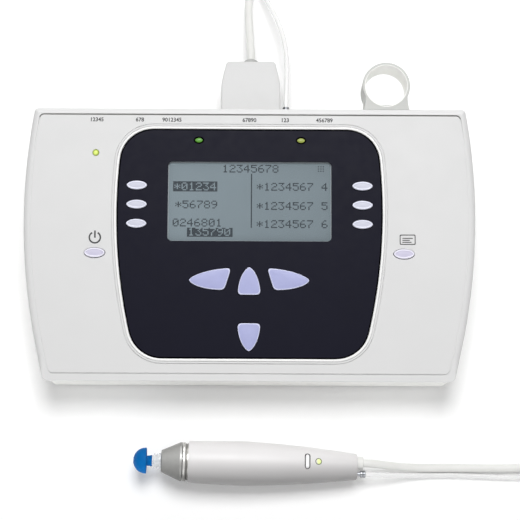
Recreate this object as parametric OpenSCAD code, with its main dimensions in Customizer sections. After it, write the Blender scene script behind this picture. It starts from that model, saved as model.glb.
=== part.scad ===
// Tympanometer: a sloping desk console with keys and a screen, and a hand probe on a cable and an air tube.
// Millimetres. +X right, +Y back, +Z up. The origin is on the table, in the middle of the space that the
// console with its holder and the probe take up together. Inside the modules, y counts from the middle of the
// keys and the screen, which is a little in front of the case's own middle.

/* [Console case] */
// Width of the console at its widest
case_w = 271.2; // [251.2:1:300.2]
// Depth of the console on the table
case_d = 164.2; // [155.2:1:175.2]
// How far the middle of the case lies behind the middle of its keys and screen
case_mid = 1.8; // [1:0.1:2.5]
// Height of the back edge of the top face
case_h = 60.25; // [56.25:1:66.25]
// Slope of the top face in degrees
face_slope = 10; // [8:0.5:11]
// Radius of the bowed sides
side_r = 376; // [340:2:420]
// How far behind the middle the case is widest
side_mid = 22; // [16:0.5:26]
// Corner radius at the back
back_corner_r = 2.5; // [2:0.5:5]
// Corner radius at the front
front_corner_r = 6; // [5:0.5:9]
// Depth of the upper case below the face
lid_h = 11; // [10.5:0.5:13]
// Wall of both cases
wall = 2.5; // [2:0.1:3]
// How far the lower case stands in from the upper case
reveal = 0.8; // [0.4:0.1:1.5]
// How far the lower case draws in at its sides towards the base
side_draft = 8; // [4:1:12]
// How far the lower case draws in at its front towards the base
front_draft = 4; // [3:1:8]
// Thickness of the floor of the lower case
floor_t = 2.5; // [2:0.1:3.5]
// Width of the rounded edge round the face
edge_round = 3; // [2:0.5:4]
// Height of the feet that show below the case
foot_h = 2; // [1:0.5:3]
// Radius of a foot
foot_r = 6; // [5:0.5:8]

/* [Fascia] */
// Half width of the black fascia at its widest
fascia_half = 79.7; // [77:0.1:82]
// Radius of the bowed sides of the fascia
fascia_side_r = 323; // [283:5:363]
// Back edge of the fascia above the middle of the face
fascia_back = 71; // [70.5:0.1:73]
// Front edge of the fascia below the middle of the face
fascia_front = 67.7; // [66:0.1:69]
// Corner radius of the fascia
fascia_corner_r = 20.3; // [17.3:0.5:22.3]
// Depth of the pocket that holds the fascia
fascia_pocket = 1.2; // [1:0.1:1.4]
// How far the fascia lies below the face
fascia_sunk = 0.1; // [0:0.05:0.3]
// Width of the raised rim round the fascia
rim_w = 1.7; // [1.2:0.1:2.5]
// Height of the raised rim
rim_h = 0.6; // [0.4:0.1:1]
// Width of the shallow step outside the rim
step_w = 1; // [0.6:0.1:2]
// Height of the shallow step
step_h = 0.25; // [0.2:0.05:0.4]
// Distance of the face groove from the edge of the case
groove_in = 3.9; // [3.4:0.1:5]
// Width of the face groove
groove_w = 0.7; // [0.4:0.1:1]
// Corner radius of the face groove
groove_r = 3; // [2:0.5:5]
// Depth of the face groove
groove_d = 0.5; // [0.3:0.1:0.8]

/* [Screen] */
// Width of the visible screen
screen_w = 98.2; // [94:0.2:102]
// Height of the visible screen
screen_h = 48.5; // [46:0.5:50]
// Middle of the screen above the middle of the face
screen_v = 26.9; // [25.5:0.1:28]
// Corner radius of the screen opening
screen_r = 2.7; // [1:0.1:4]
// Thickness of the clear window
window_t = 0.8; // [0.6:0.1:1]
// Ledge that carries the window
window_ledge = 1; // [0.8:0.1:1.5]
// Thickness of the glass and its backlight
glass_t = 3.3; // [2.5:0.1:3.4]
// Sheet thickness of the metal frame
frame_t = 0.5; // [0.4:0.1:0.6]
// Width of the frame beyond the opening
frame_rim = 5.5; // [5:0.5:6]

/* [Keys] */
// Length of a soft key beside the screen
soft_l = 12.2; // [11:0.1:13]
// Width of a soft key
soft_w = 5.7; // [5:0.1:6.2]
// Distance of the soft keys from the centre line
soft_x = 67.8; // [67:0.1:68.5]
// Height of the lowest soft key above the middle of the face
soft_v = 13; // [12:0.1:14]
// Spacing of the soft keys
soft_pitch = 11.65; // [11:0.05:12]
// Length of the two oval keys outside the fascia
oval_l = 12.8; // [12:0.1:14]
// Width of the two oval keys
oval_w = 6.2; // [5.5:0.1:7]
// Distance of the oval keys from the widest line of the case
oval_in = 43.3; // [42.3:0.1:44.3]
// Height of the oval keys above the middle of the face
oval_v = -4.8; // [-8:0.1:0]
// Length of the arrow keys on the left and right
side_key_l = 23; // [21:0.1:25]
// Base width of the arrow keys on the left and right
side_key_w = 13; // [12:0.1:13.5]
// Distance of their middles from the centre line
side_key_x = 24.2; // [23.5:0.1:26]
// Height of their middles above the middle of the face
side_key_v = -20.6; // [-21:0.1:-19.5]
// Slant of their inner ends
side_key_slant = 0.33; // [0.23:0.05:0.43]
// Turn of these keys, tips towards the front, in degrees
side_key_tilt = 1.2; // [0:0.2:3]
// Length of the arrow keys at the middle
mid_key_l = 16.5; // [15:0.1:17]
// Base width of the arrow keys at the middle
mid_key_w = 13.6; // [12.5:0.1:14]
// Height of the upper middle key above the middle of the face
up_key_v = -21.4; // [-22:0.1:-21]
// Height of the lower middle key above the middle of the face
down_key_v = -55; // [-55.3:0.1:-50.3]
// Curve of the sides of the arrow keys
arrow_power = 0.65; // [0.55:0.01:0.75]
// Height of a key's edge above the face
key_rise = 0.9; // [0.7:0.1:1.2]
// Height of a key's crown above its edge
key_dome = 0.7; // [0.4:0.1:0.9]
// Width of the sloping edge of a key
key_bevel = 1; // [0.6:0.1:1.2]
// Clearance round a key
key_clear = 0.3; // [0.25:0.05:0.4]
// Rim that holds a key below the wall
key_rim = 1; // [0.8:0.1:1.2]
// Thickness of that rim
key_rim_t = 0.9; // [0.8:0.1:1]
// Travel of a key
key_travel = 0.6; // [0.4:0.1:0.7]

/* [Lamps] */
// Distance of the ear lamps from the centre line
ear_lamp_x = 30.8; // [29:0.1:33]
// Height of the ear lamps above the middle of the face
ear_lamp_v = 64.2; // [62.5:0.1:65]
// Length of an ear lamp
ear_lamp_l = 4.8; // [4:0.1:5.5]
// Width of an ear lamp
ear_lamp_w = 3.2; // [2.8:0.1:4]
// Distance of the power lamp from the widest line of the case
power_lamp_in = 42.8; // [41.8:0.1:43.8]
// Height of the power lamp above the middle of the face
power_lamp_v = 56.2; // [54:0.1:58]
// Radius of the power lamp
power_lamp_r = 2.1; // [1.8:0.1:2.4]

/* [Boards and screws] */
// Thickness of a circuit board
board_t = 1.6; // [1.2:0.1:2]
// Half width of both circuit boards
board_half = 99; // [98.5:0.5:100]
// Depth of the key board's upper side below the face
key_board_deep = 6.6; // [6.4:0.1:6.8]
// Height of the main board's underside above the table
main_board_z = 10; // [9:0.5:11]
// Front edge of the main board
main_board_front = 8; // [6:0.5:10]
// Radius of a small screw's shank
screw_r = 1.25; // [1:0.05:1.4]
// Radius of a case screw's shank
case_screw_r = 1.45; // [1.3:0.05:1.5]
// Radius of a screw head
screw_head_r = 2.8; // [2.5:0.1:3]
// Height of a screw head
screw_head_h = 1.9; // [1.5:0.1:2.2]
// Clearance of a screw in its hole
screw_clear = 0.05; // [0.03:0.01:0.1]
// Clearance of a screw in a plate that it only passes
plate_clear = 0.25; // [0.2:0.05:0.4]

/* [Rear sockets] */
// Distance of the power socket from the centre line
power_x = -92.6; // [-93:0.2:-91]
// Radius of the power socket's mouth
power_hole_r = 3.1; // [2.8:0.1:3.4]
// Radius of the power socket's centre pin
power_pin_r = 1; // [0.8:0.1:1.2]
// Distance of the data socket from the centre line
data_x = -66.6; // [-68:0.2:-65]
// Width of the data socket's mouth
data_mouth_w = 8.4; // [8.2:0.1:8.6]
// Height of the data socket's mouth
data_mouth_h = 7.8; // [7.6:0.1:8]
// Distance of the printer socket from the centre line
printer_x = -47.2; // [-49:0.2:-46]
// Radius of the printer socket's round recess
printer_hole_r = 4.8; // [4.6:0.1:5]
// Height of the round sockets' axes above the main board
socket_axis_h = 6.5; // [6.2:0.1:7]
// Distance of the air port from the centre line
air_x = 22.4; // [21.8:0.2:24]
// Distance of the headphone jack from the centre line
jack_x = 44.9; // [43:0.2:47]
// Radius of the headphone jack's bore
jack_r = 3.25; // [3.2:0.01:3.3]
// Length of the headphone jack's bore
jack_bore_l = 26; // [24:0.5:28]

/* [Probe holder] */
// Distance of the holder ring from the centre line
ring_x = 83.2; // [79.2:0.5:87.2]
// Distance of the middle of the ring's rim behind the console
ring_back = 16.2; // [16.2:0.1:19.2]
// Bore radius of the holder ring
ring_r = 12.7; // [12:0.1:13.2]
// Wall of the holder ring
ring_wall = 1.8; // [1.5:0.1:2.5]
// Height of the holder ring
ring_h = 20.5; // [17.5:0.5:21.5]
// Height of the middle of the ring's rim above the table
ring_top = 56; // [54:0.5:57]

/* [Probe] */
// Largest radius of the probe's handle
belly_r = 13; // [12:0.1:14]
// Radius of the handle at its front end
handle_front_r = 12.1; // [11.8:0.1:12.5]
// Radius of the handle at its rear end
handle_rear_r = 7.6; // [7.2:0.1:8]
// Length of the handle ahead of its middle point
handle_front = 35.4; // [33:0.2:37]
// Length of the handle behind its middle point
handle_rear = 64.3; // [62:0.1:66]
// Angle at which the probe lies nose up on the table
probe_pitch = 2.5; // [1:0.1:3]
// Turn of the probe on the table, rear end towards the front
probe_yaw = 1; // [0:0.1:2]
// Distance of the probe in front of the console's middle
probe_front = 126.1; // [125:0.1:130]
// Distance of the pill button behind the handle's middle point
button_t = 35; // [33:0.5:36]
// Length of the pill button across the handle
button_l = 9.3; // [8.5:0.1:10]
// Width of the pill button
button_w = 3.5; // [3:0.1:3.8]
// Travel of the pill button
button_travel = 0.5; // [0.3:0.1:0.6]
// Distance of the probe lamp behind the handle's middle point
probe_lamp_t = 41.5; // [41:0.5:43]
// Radius of the probe lamp
probe_lamp_r = 1.9; // [1.5:0.1:2.1]
// Largest radius of the nose cone
nose_r = 11.5; // [11.2:0.1:11.8]
// Radius of the nose cone at its mouth
nose_mouth_r = 6.4; // [6.1:0.1:6.8]
// Length of the nose cone
nose_l = 14.45; // [14:0.05:15]
// Length of its straight rim
nose_rim_l = 3.3; // [2.5:0.1:4]
// Outer radius of the thread under the nose cone
thread_r = 9.4; // [9.2:0.1:9.5]
// Running clearance of the thread
thread_clear = 0.06; // [0.03:0.01:0.09]
// Length of the thread
thread_l = 4.5; // [4:0.1:5]
// Radius of the soft ear tip
ear_tip_r = 7.6; // [6:0.1:9]
// Length of the ear tip's dome
ear_tip_l = 7.6; // [6.5:0.1:8.5]

/* [Plug and cords] */
// Width of the plug's hood at its flange
hood_w = 37.4; // [36:0.2:37.6]
// Width of the plug's hood at its cable end
hood_end_w = 31.8; // [29.8:0.2:33.8]
// Thickness of the plug's hood
hood_t = 15; // [14:0.2:15.5]
// Diameter of the probe cable
cable_d = 4.8; // [4.4:0.1:5]
// Turns of the probe cable's coil in each of its two layers
cable_turns = 2.625; // [1.625:1:2.625]
// Middle radius of the probe cable's coil
cable_coil_r = 24; // [22:0.5:26]
// Diameter of the air tube
tube_d = 3; // [2.8:0.1:3.2]
// Turns of the air tube's coil in each of its two layers
tube_turns = 3; // [2:1:3]
// Middle radius of the air tube's coil
tube_coil_r = 17.8; // [15.3:0.5:18.8]
// Gap between the turns of a coil
coil_gap = 0.5; // [0.45:0.05:0.8]

/* [Hidden] */

$fn = 48;
eps = 0.01;

// Face plane: its length up the slope, its edges and the point from which its keys and screen are placed
face_len = (case_d - lid_h * sin(face_slope)) / cos(face_slope);
face_back = face_len / 2 + case_mid / cos(face_slope);
face_front = face_back - face_len;
face_y = -lid_h * sin(face_slope) / 2;
face_z = case_h - face_back * sin(face_slope);
back_y = case_d / 2 + case_mid;
rear_y = back_y - reveal * cos(face_slope);
base_z = foot_h;
inner_floor_z = base_z + floor_t;

module on_face(x = 0, v = 0, w = 0) {
    translate([0, face_y, face_z])
        rotate([face_slope, 0, 0])
            translate([x, v, w])
                children();
}

// Height of the plane that lies w above the face, at the place y
function plane_z(y, w) = face_z + (y - face_y + w * sin(face_slope)) * tan(face_slope) + w * cos(face_slope);

// Bowed outline: half width, place of the widest point, side radius, back, front and corner radii, and an inset
function corner_x(half, mid, side, y, r) = half - side + sqrt(pow(side - r, 2) - pow(y - mid, 2));
function arc(x, y, r, from, to, n, skip = 0) = [
    for (i = [skip:n - skip])
        let (a = from + (to - from) * i / n)
            [x + r * cos(a), y + r * sin(a)]
];
function half_bowed(half, mid, side, back, front, r_back, r_front, cut) = let (
    x_back = corner_x(half, mid, side, back - r_back, r_back),
    x_front = corner_x(half, mid, side, front + r_front, r_front),
    a_back = atan2(back - r_back - mid, x_back - half + side),
    a_front = atan2(front + r_front - mid, x_front - half + side)
) concat(
    arc(x_front, front + r_front, max(r_front - cut, 0.2), -90, a_front, 4),
    arc(half - side, mid, side - cut, a_front, a_back, 10, 1),
    arc(x_back, back - r_back, max(r_back - cut, 0.2), a_back, 90, 4)
);
function mirrored(half) = concat(half, [for (i = [len(half) - 1:-1:0]) [-half[i][0], half[i][1]]]);
function bowed(half, mid, side, back, front, r_back, r_front, cut) =
    mirrored(half_bowed(half, mid, side, back, front, r_back, r_front, cut));
function case_outline(cut) = bowed(case_w / 2, side_mid, side_r, face_back, face_front,
    back_corner_r, front_corner_r, cut);
function groove_outline(cut) = bowed(case_w / 2 - groove_in, side_mid, side_r - groove_in,
    face_back - groove_in, face_front + groove_in, groove_r, groove_r + 1, cut);
function base_outline(cut) = bowed(case_w / 2 - reveal - side_draft, side_mid, side_r, rear_y,
    back_y - case_d + front_draft, back_corner_r, front_corner_r + 4, cut);
function fascia_outline(cut) = bowed(fascia_half, side_mid, fascia_side_r, fascia_back, -fascia_front,
    fascia_corner_r, fascia_corner_r, cut);

// Keys
key_wall_gap = 0.3;
key_rim_low = wall + key_wall_gap + key_rim_t;
switch_h = 1.7;
switch_gap = key_travel + 0.1;
key_stem_low = key_board_deep - switch_h - switch_gap;
switch_half = 3;
soft_vs = [soft_v + 2 * soft_pitch, soft_v + soft_pitch, soft_v];
oval_x = case_w / 2 - oval_in;
power_lamp_x = case_w / 2 - power_lamp_in;
key_places = concat(
    [for (s = [-1, 1], v = soft_vs) ["soft", s * soft_x, v]],
    [for (s = [-1, 1]) ["oval", s * oval_x, oval_v]],
    [["right", side_key_x, side_key_v], ["left", -side_key_x, side_key_v]],
    [["up", 0, up_key_v], ["down", 0, down_key_v]]
);

module oval(length, width) {
    polygon([for (i = [0:23]) [length / 2 * cos(15 * i), width / 2 * sin(15 * i)]]);
}

// Pointed arch with its tip at +Y, its base slanted by a shear
function arch_half(w, l, grow) = [
    for (i = [0:9])
        let (s = i / 9, u = 1 - pow(1 - s, 2))
            [(w / 2 + grow) * pow(1 - u * u, arrow_power), (l + 2 * grow) * (max(u, 0.06) - 0.5)]
];
function arch(w, l, grow) = let (side = arch_half(w, l, grow), foot = [w / 2 + grow - 1.2, -l / 2 - grow])
    concat([foot], side, [for (i = [8:-1:0]) [-side[i][0], side[i][1]]], [[-foot[0], foot[1]]]);
function slanted(points) = [
    for (p = points)
        let (x = p[1] - side_key_slant * p[0])
            [x * cos(side_key_tilt) + p[0] * sin(side_key_tilt),
                p[0] * cos(side_key_tilt) - x * sin(side_key_tilt)]
];

module key_shape(kind, grow) {
    if (kind == "soft")
        oval(soft_l + 2 * grow, soft_w + 2 * grow);
    if (kind == "oval")
        oval(oval_l + 2 * grow, oval_w + 2 * grow);
    if (kind == "right")
        polygon(slanted(arch(side_key_w, side_key_l, grow)));
    if (kind == "left")
        mirror([1, 0])
            polygon(slanted(arch(side_key_w, side_key_l, grow)));
    if (kind == "up")
        polygon(arch(mid_key_w, mid_key_l, grow));
    if (kind == "down")
        mirror([0, 1])
            polygon(arch(mid_key_w, mid_key_l, grow));
}

module key_wells(low, high) {
    for (k = key_places)
        translate([k[1], k[2], low])
            linear_extrude(high - low)
                key_shape(k[0], key_clear);
}

module sprung_key(k) {
    on_face(k[1], k[2]) {
        translate([0, 0, -key_rim_low])
            linear_extrude(key_rim_t)
                key_shape(k[0], key_rim);
        translate([0, 0, -key_rim_low + eps])
            linear_extrude(key_rim_low - eps + key_rise)
                key_shape(k[0], 0);
        hull() {
            translate([0, 0, key_rise - eps])
                linear_extrude(eps)
                    key_shape(k[0], 0);
            translate([0, 0, key_rise + key_dome - eps])
                linear_extrude(eps)
                    key_shape(k[0], -key_bevel);
        }
        translate([0, 0, -key_stem_low])
            cylinder(r = 1.6, h = key_stem_low - wall);
    }
}

// Screws and bosses
case_screw_places = [[112, 60], [-112, 60], [106, -64], [-106, -64]];
case_screw_grip = 8;
case_screw_bite = 7;
lid_post_r = 4;
column_r = 4.6;
counterbore_r = screw_head_r + 0.4;
key_board_screws = [[84, 44], [-84, 44], [84, -52], [-84, -52]];
main_board_screws = [[80, 70], [-80, 70], [80, 14], [-80, 14]];
boss_r = 3.5;
main_board_top = main_board_z + board_t;
holder_screw_dx = 7;
holder_screw_z = 29;
rear_boss_y = 72;

module round_screw(r, shank) {
    translate([0, 0, -shank])
        cylinder(r = r, h = shank + eps);
    cylinder(r = screw_head_r, h = screw_head_h);
}

// Rear sockets: the panel they pass and the height of their axes
panel_in_y = rear_y - wall;
axis_z = main_board_top + socket_axis_h;
low_axis_z = main_board_top + 5.5;
socket_play = 0.1;
socket_shy = 0.1;
data_body_w = 12;
data_body_h = 11;
power_nose_r = 4.4;
printer_nose_r = 7;
air_body_r = 3;
jack_bush_r = 4.9;
shell_w = 18.4;
shell_h = 9;
shell_t = 0.6;
shell_out = 4.8;

module along_y(x, y, z) {
    translate([x, y, z])
        rotate([-90, 0, 0])
            children();
}

// Slanted outline of the plug's metal shell, wide side up
function shell_outline(w, h) = [[-w / 2 + h * 0.18, -h / 2], [w / 2 - h * 0.18, -h / 2], [w / 2, h / 2],
    [-w / 2, h / 2]];

module shell_block(w, h, from, to) {
    along_y(0, from, axis_z)
        linear_extrude(to - from)
            rotate(180)
                polygon(shell_outline(w, h));
}

// Syringe pump in the front of the lower case
pump_y = -35;
pump_z = 17;
pump_bore_r = 9;
pump_clear = 0.05;
pump_tube_r = 10.5;
pump_tube_from = 20;
pump_tube_to = 79;
pump_cap = 3;
pump_port_l = 5;
pump_port_r = 1.6;
pump_plate_x = -12;
pump_plate_t = 2;
pump_foot_t = 1.6;
pump_half = 11;
motor_r = 10;
motor_l = 18;
lead_r = 2.5;
lead_to = 28;
piston_x = 38;
piston_t = 7;
piston_rod_l = 30;
piston_rod_r = 5;
piston_hollow = 5;

module along_x(x, y, z) {
    translate([x, y, z])
        rotate([0, 90, 0])
            children();
}

// Holder ring behind the console, square to the face, with a block that joins it to a pad on the rear wall
ring_y = rear_y + ring_back;
ring_out_r = ring_r + ring_wall;
block_half = 14;
block_d = 4.8;
block_ahead = 0.7;
web_l = 7;
web_low = 37;
pad_t = 3;
pad_half = 12;
pad_low = 23;
pad_top = 48.2;

module on_ring() {
    translate([ring_x, ring_y, ring_top])
        rotate([face_slope, 0, 0])
            children();
}

// Probe: its middle point, a turn onto its axis and the formula of its handle
belly_t = -4;
handle_curve = 1.6;
handle_wall = 2;
handle_end_t = 2.5;
core_bore_r = 9.8;
core_bore_to = 22;
mid_bore_r = 7.8;
mid_bore_to = 46;
rear_bore_r = 5;
cable_off = 2.3;
air_off = -4.2;
boot_r = 3.8;
boot_neck_r = 2.8;
boot_l = 3.9;
fitting_l = 5.2;

module on_probe() {
    translate([0, -probe_front, probe_z])
        rotate([0, probe_pitch, -probe_yaw])
            children();
}

module spun(points) {
    rotate([0, 90, 0])
        rotate_extrude($fn = 64)
            polygon(points);
}

module rod(r, from, to, y = 0, z = 0) {
    along_x(from, y, z)
        cylinder(r = r, h = to - from);
}

function handle_r(t) = t < belly_t
    ? belly_r - (belly_r - handle_front_r) * pow((belly_t - t) / (belly_t + handle_front), 2)
    : belly_r - (belly_r - handle_rear_r) * pow((t - belly_t) / (handle_rear - belly_t), handle_curve);
handle_steps = 14;
handle_side = [
    for (i = [0:handle_steps])
        let (t = -handle_front + (handle_front + handle_rear - 0.8) * i / handle_steps)
            [handle_r(t), t]
];

// The probe rests on its handle, a hair above the table
probe_z = max([for (p = handle_side) p[0] * cos(probe_pitch) + p[1] * sin(probe_pitch)]) + 0.1;
probe_back = [cos(probe_pitch) * cos(probe_yaw), -cos(probe_pitch) * sin(probe_yaw), -sin(probe_pitch)];
probe_left = [sin(probe_yaw), cos(probe_yaw), 0];
function on_probe_axis(t, y) = [0, -probe_front, probe_z] + t * probe_back + y * probe_left;
probe_reach = max([for (p = handle_side) p[0] * cos(probe_yaw) + p[1] * sin(probe_yaw)]) + probe_front;
ring_reach = ring_y + ring_out_r * cos(face_slope) + ring_h * sin(face_slope);
frame_y = round(5 * (probe_reach - ring_reach)) / 10;

module in_frame() {
    translate([0, frame_y, 0])
        children();
}

module handle_body(grow) {
    spun(concat(
        [[0, -handle_front]],
        [[handle_front_r - 0.3 + grow, -handle_front]],
        [for (p = handle_side) [p[0] + grow, max(p[1], 0.3 - handle_front)]],
        [[handle_rear_r - 0.7 + grow, handle_rear], [0, handle_rear]]
    ));
}

module pill(length, width, h) {
    for (s = [-1, 1])
        translate([0, s * (length - width) / 2, 0])
            cylinder(d = width, h = h);
    translate([-width / 2, (width - length) / 2, 0])
        cube([width, length - width, h]);
}

probe_board_z = 1.6;
probe_board_from = -6;
probe_board_l = 58;
probe_board_w = 9;
probe_board_t = 1.2;
probe_switch_h = 2;
probe_switch_w = 4.4;
button_low = probe_board_z + probe_switch_h + button_travel + 0.2;

// Tube swept along a list of points: rings square to the path, closed at both ends
function unit(v) = v / norm(v);
function heading(p, i) = unit(p[min(i + 1, len(p) - 1)] - p[max(i - 1, 0)]);
function ring_at(p, i, r, sides) = let (
    t = heading(p, i),
    side = unit(cross(t, [0, 0, 1])),
    up = cross(side, t)
) [for (k = [0:sides - 1]) p[i] + r * (cos(360 * k / sides) * side + sin(360 * k / sides) * up)];

module swept_tube(path, r, sides) {
    n = len(path);
    points = [for (i = [0:n - 1]) each ring_at(path, i, r, sides)];
    walls = [
        for (i = [0:n - 2], k = [0:sides - 1], half = [0, 1])
            let (a = i * sides + k, b = i * sides + (k + 1) % sides)
                half == 0 ? [a, b, b + sides] : [a, b + sides, a + sides]
    ];
    caps = concat(
        [for (k = [1:sides - 2]) [0, k + 1, k]],
        [for (k = [1:sides - 2]) let (e = (n - 1) * sides) [e, e + k, e + k + 1]]
    );
    polyhedron(points = points, faces = concat(walls, caps));
}

// Round coil of two layers: in on the lower layer, up a layer in half a turn, and out again on the upper one.
// turn is 1 for anticlockwise and -1 for clockwise, seen from above. start is the angle of its first point.
rings_a_turn = 24;
function coil_r(mid_r, d, turns, a) = mid_r + (d + coil_gap) * (abs(a - turns) - turns / 2);
function coil_z(d, turns, a) = 0.5 * d + 0.1 + (d + coil_gap) * min(max(a - turns + 0.25, 0) / 0.5, 1);
function coil_point(c, mid_r, d, turns, start, turn, a) = let (r = coil_r(mid_r, d, turns, a))
    [c[0] + r * cos(start + turn * 360 * a), c[1] + r * sin(start + turn * 360 * a), coil_z(d, turns, a)];
function coil_heading(start, turn, a) =
    [-turn * sin(start + turn * 360 * a), turn * cos(start + turn * 360 * a), 0];
function coil_path(c, mid_r, d, turns, start, turn) = let (
    steps = round(2 * turns * rings_a_turn),
    loops = [for (i = [0:steps]) coil_point(c, mid_r, d, turns, start, turn, i / rings_a_turn)],
    first = loops[0],
    last = loops[steps]
) concat(
    [first - d * coil_heading(start, turn, 0)], loops, [last + d * coil_heading(start, turn, 2 * turns)]
);
function least_gap(path, d) = min([
    for (i = [0:len(path) - 1], j = [i + rings_a_turn / 2:1:len(path) - 1])
        norm(path[i] - path[j]) - d
]);
function path_length(p, i = 1, sum = 0) = i == len(p) ? sum : path_length(p, i + 1, sum + norm(p[i] - p[i - 1]));

// Route of the probe cable
cable_r = cable_d / 2;
cable_low = cable_r + 0.1;
cable_centre = [220, 162];
cable_path = coil_path(cable_centre, cable_coil_r, cable_d, cable_turns, 90, -1);
cable_in = cable_path[0];
cable_out = cable_path[len(cable_path) - 1];
hood_from = rear_y + shell_out + 1.3;
hood_to = 130.3;
hood_straight = 23;
hood_corner_r = 2.5;
gland_l = 4.1;
gland_r = 4.5;
cable_exit = [0, hood_to + gland_l, axis_z];
boot_end = on_probe_axis(handle_rear + boot_l, cable_off);
cable_rear_path = concat(
    [cable_exit, cable_exit + [0, cable_d, 0]],
    [[-0.6, 148, 16.9], [-1.1, 158, 14.4], [-1.7, 169, 11.2], [-1.9, 178, 8], [-1.4, 187, 5], [1.4, 195, 3],
        [8, 201.6, 2.5], [18, 204.4, 2.5], [32, 205, 2.5], [70, 205, 2.5], [120, 205, 2.5],
        [160, 204, 2.5], [190, 198, 2.5]],
    [cable_in - [cable_d, 0, 0], cable_in]
);
cable_front_path = concat(
    [cable_out, cable_out - [0, cable_d, 0]],
    [[250.4, 144, 6.2], [249, 126, 3.4], [246, 104, 2.5], [241, 76, 2.5], [234, 42, 2.5], [227, 6, 2.5],
        [221, -28, 2.5], [217, -58, 2.5], [214, -80, 2.5], [209, -98, 2.5], [200, -112, 2.5],
        [187, -121, 2.5], [173, -125.2, 2.5], [158, -126, 2.5], [120, -126.1, 2.5], [110, -126.2, 2.6],
        [100, -126.3, 3.4], [90, -126.1, 5.4], [81, -125.6, 8]],
    [boot_end + cable_d * probe_back, boot_end]
);

// Route of the air tube
tube_r = tube_d / 2;
tube_centre = [110, 233];
tube_path = coil_path(tube_centre, tube_coil_r, tube_d, tube_turns, 270, 1);
tube_in = tube_path[0];
tube_out = tube_path[len(tube_path) - 1];
port_l = 18;
tube_exit = [air_x, rear_y + port_l, axis_z];
fitting_end = on_probe_axis(handle_rear + fitting_l, air_off);
tube_rear_path = concat(
    [tube_exit, tube_exit + [0, tube_d, 0]],
    [[22.8, 113, 18.1], [22.9, 122, 18], [22.9, 134, 17.8], [22.3, 143, 17.5], [20.2, 154, 16.5],
        [17.7, 163, 15], [14, 172.5, 13], [10, 182, 11], [6, 192, 9], [4.4, 201, 7.4], [6.4, 209.6, 5.6],
        [12, 215, 3.6], [22, 217, 1.9], [36, 216, 1.6], [60, 213.6, 1.6], [86, 211.2, 1.6]],
    [tube_in - [tube_d, 0, 0], tube_in]
);
tube_front_path = concat(
    [tube_out, tube_out + [tube_d, 0, 0]],
    [[130, 211.4, 4.4], [150, 213, 2.2], [172, 213.4, 1.6], [205, 212, 1.6], [236, 207, 1.6],
        [252, 196, 1.6], [260, 178, 1.6], [261, 154, 1.6], [257, 118, 1.6], [250, 76, 1.6], [238, 14, 1.6],
        [229, -36, 1.6], [223, -74, 1.6], [218, -98, 1.6], [208, -116, 1.6], [193, -126.6, 1.6],
        [176, -131, 1.6], [158, -131.6, 1.6], [138, -131, 1.6], [122, -130.5, 1.6], [110, -130.6, 1.7],
        [100, -130.9, 3], [90, -131.3, 5.4], [80, -131.6, 8.2]],
    [fitting_end + tube_d * probe_back, fitting_end]
);
hose_path = [[87, -35, 17], [90, -35, 17], [95, -32, 17.4], [98, -25, 18.2], [99, -14, 19], [98, 2, 20],
    [92, 20, 20], [80, 33, 20], [62, 41, 20], [42, 45, 20], [30, 48, 19], [24, 51, 18.4],
    [air_x, 54, axis_z], [air_x, 57, axis_z]];

echo(cable_coil_gap = least_gap(cable_path, cable_d), tube_coil_gap = least_gap(tube_path, tube_d));
echo(cable_lengths = [path_length(cable_rear_path), path_length(cable_path), path_length(cable_front_path)]);
echo(tube_lengths = [path_length(tube_rear_path), path_length(tube_path), path_length(tube_front_path)]);

module lower_case() {
    color("gainsboro") in_frame()
        difference() {
            union() {
                difference() {
                    hull() {
                        on_face(0, 0, -lid_h - eps)
                            linear_extrude(eps)
                                polygon(case_outline(reveal));
                        translate([0, 0, base_z])
                            linear_extrude(eps)
                                polygon(base_outline(0));
                    }
                    hull() {
                        on_face(0, 0, -lid_h + 0.4)
                            linear_extrude(eps)
                                polygon(case_outline(reveal + wall));
                        translate([0, 0, inner_floor_z])
                            linear_extrude(eps)
                                polygon(base_outline(wall));
                    }
                }
                for (p = case_screw_places)
                    translate([p[0], p[1], base_z + 1])
                        cylinder(r = column_r, h = plane_z(p[1], -lid_h) - base_z - 1);
                for (p = main_board_screws)
                    translate([p[0], p[1], base_z + 1])
                        cylinder(r = boss_r, h = main_board_z - base_z - 1);
                for (s = [-1, 1])
                    along_y(ring_x + s * holder_screw_dx, rear_boss_y, holder_screw_z)
                        cylinder(r = boss_r, h = panel_in_y - rear_boss_y + 1);
            }
            for (p = case_screw_places)
                translate([p[0], p[1], 0]) {
                    cylinder(r = counterbore_r, h = plane_z(p[1], -lid_h) - case_screw_grip);
                    cylinder(r = case_screw_r + plate_clear, h = case_h);
                }
            for (p = main_board_screws)
                translate([p[0], p[1], inner_floor_z])
                    cylinder(r = screw_r + screw_clear, h = main_board_z);
            for (s = [-1, 1])
                along_y(ring_x + s * holder_screw_dx, rear_boss_y - 1, holder_screw_z)
                    cylinder(r = screw_r + screw_clear, h = 20);
            for (s = [-1, 1], p = foot_places)
                translate([s * p[0], p[1], 0])
                    cylinder(r = foot_r + 0.2, h = base_z + foot_pocket);
            along_y(power_x, panel_in_y - 1, low_axis_z)
                cylinder(r = power_nose_r + socket_play, h = wall + 2);
            translate([data_x - data_body_w / 2 - socket_play, panel_in_y - 1, main_board_top - socket_play])
                cube([data_body_w + 2 * socket_play, wall + 2, data_body_h + 2 * socket_play]);
            along_y(printer_x, panel_in_y - 1, axis_z)
                cylinder(r = printer_nose_r + socket_play, h = wall + 2);
            shell_block(shell_w + 2 * socket_play, shell_h + 2 * socket_play, panel_in_y - 1, rear_y + 1);
            along_y(air_x, panel_in_y - 1, axis_z)
                cylinder(r = air_body_r + socket_play, h = wall + 2);
            along_y(jack_x, panel_in_y - 1, axis_z)
                cylinder(r = jack_bush_r + socket_play, h = wall + 2);
        }
}

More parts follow.
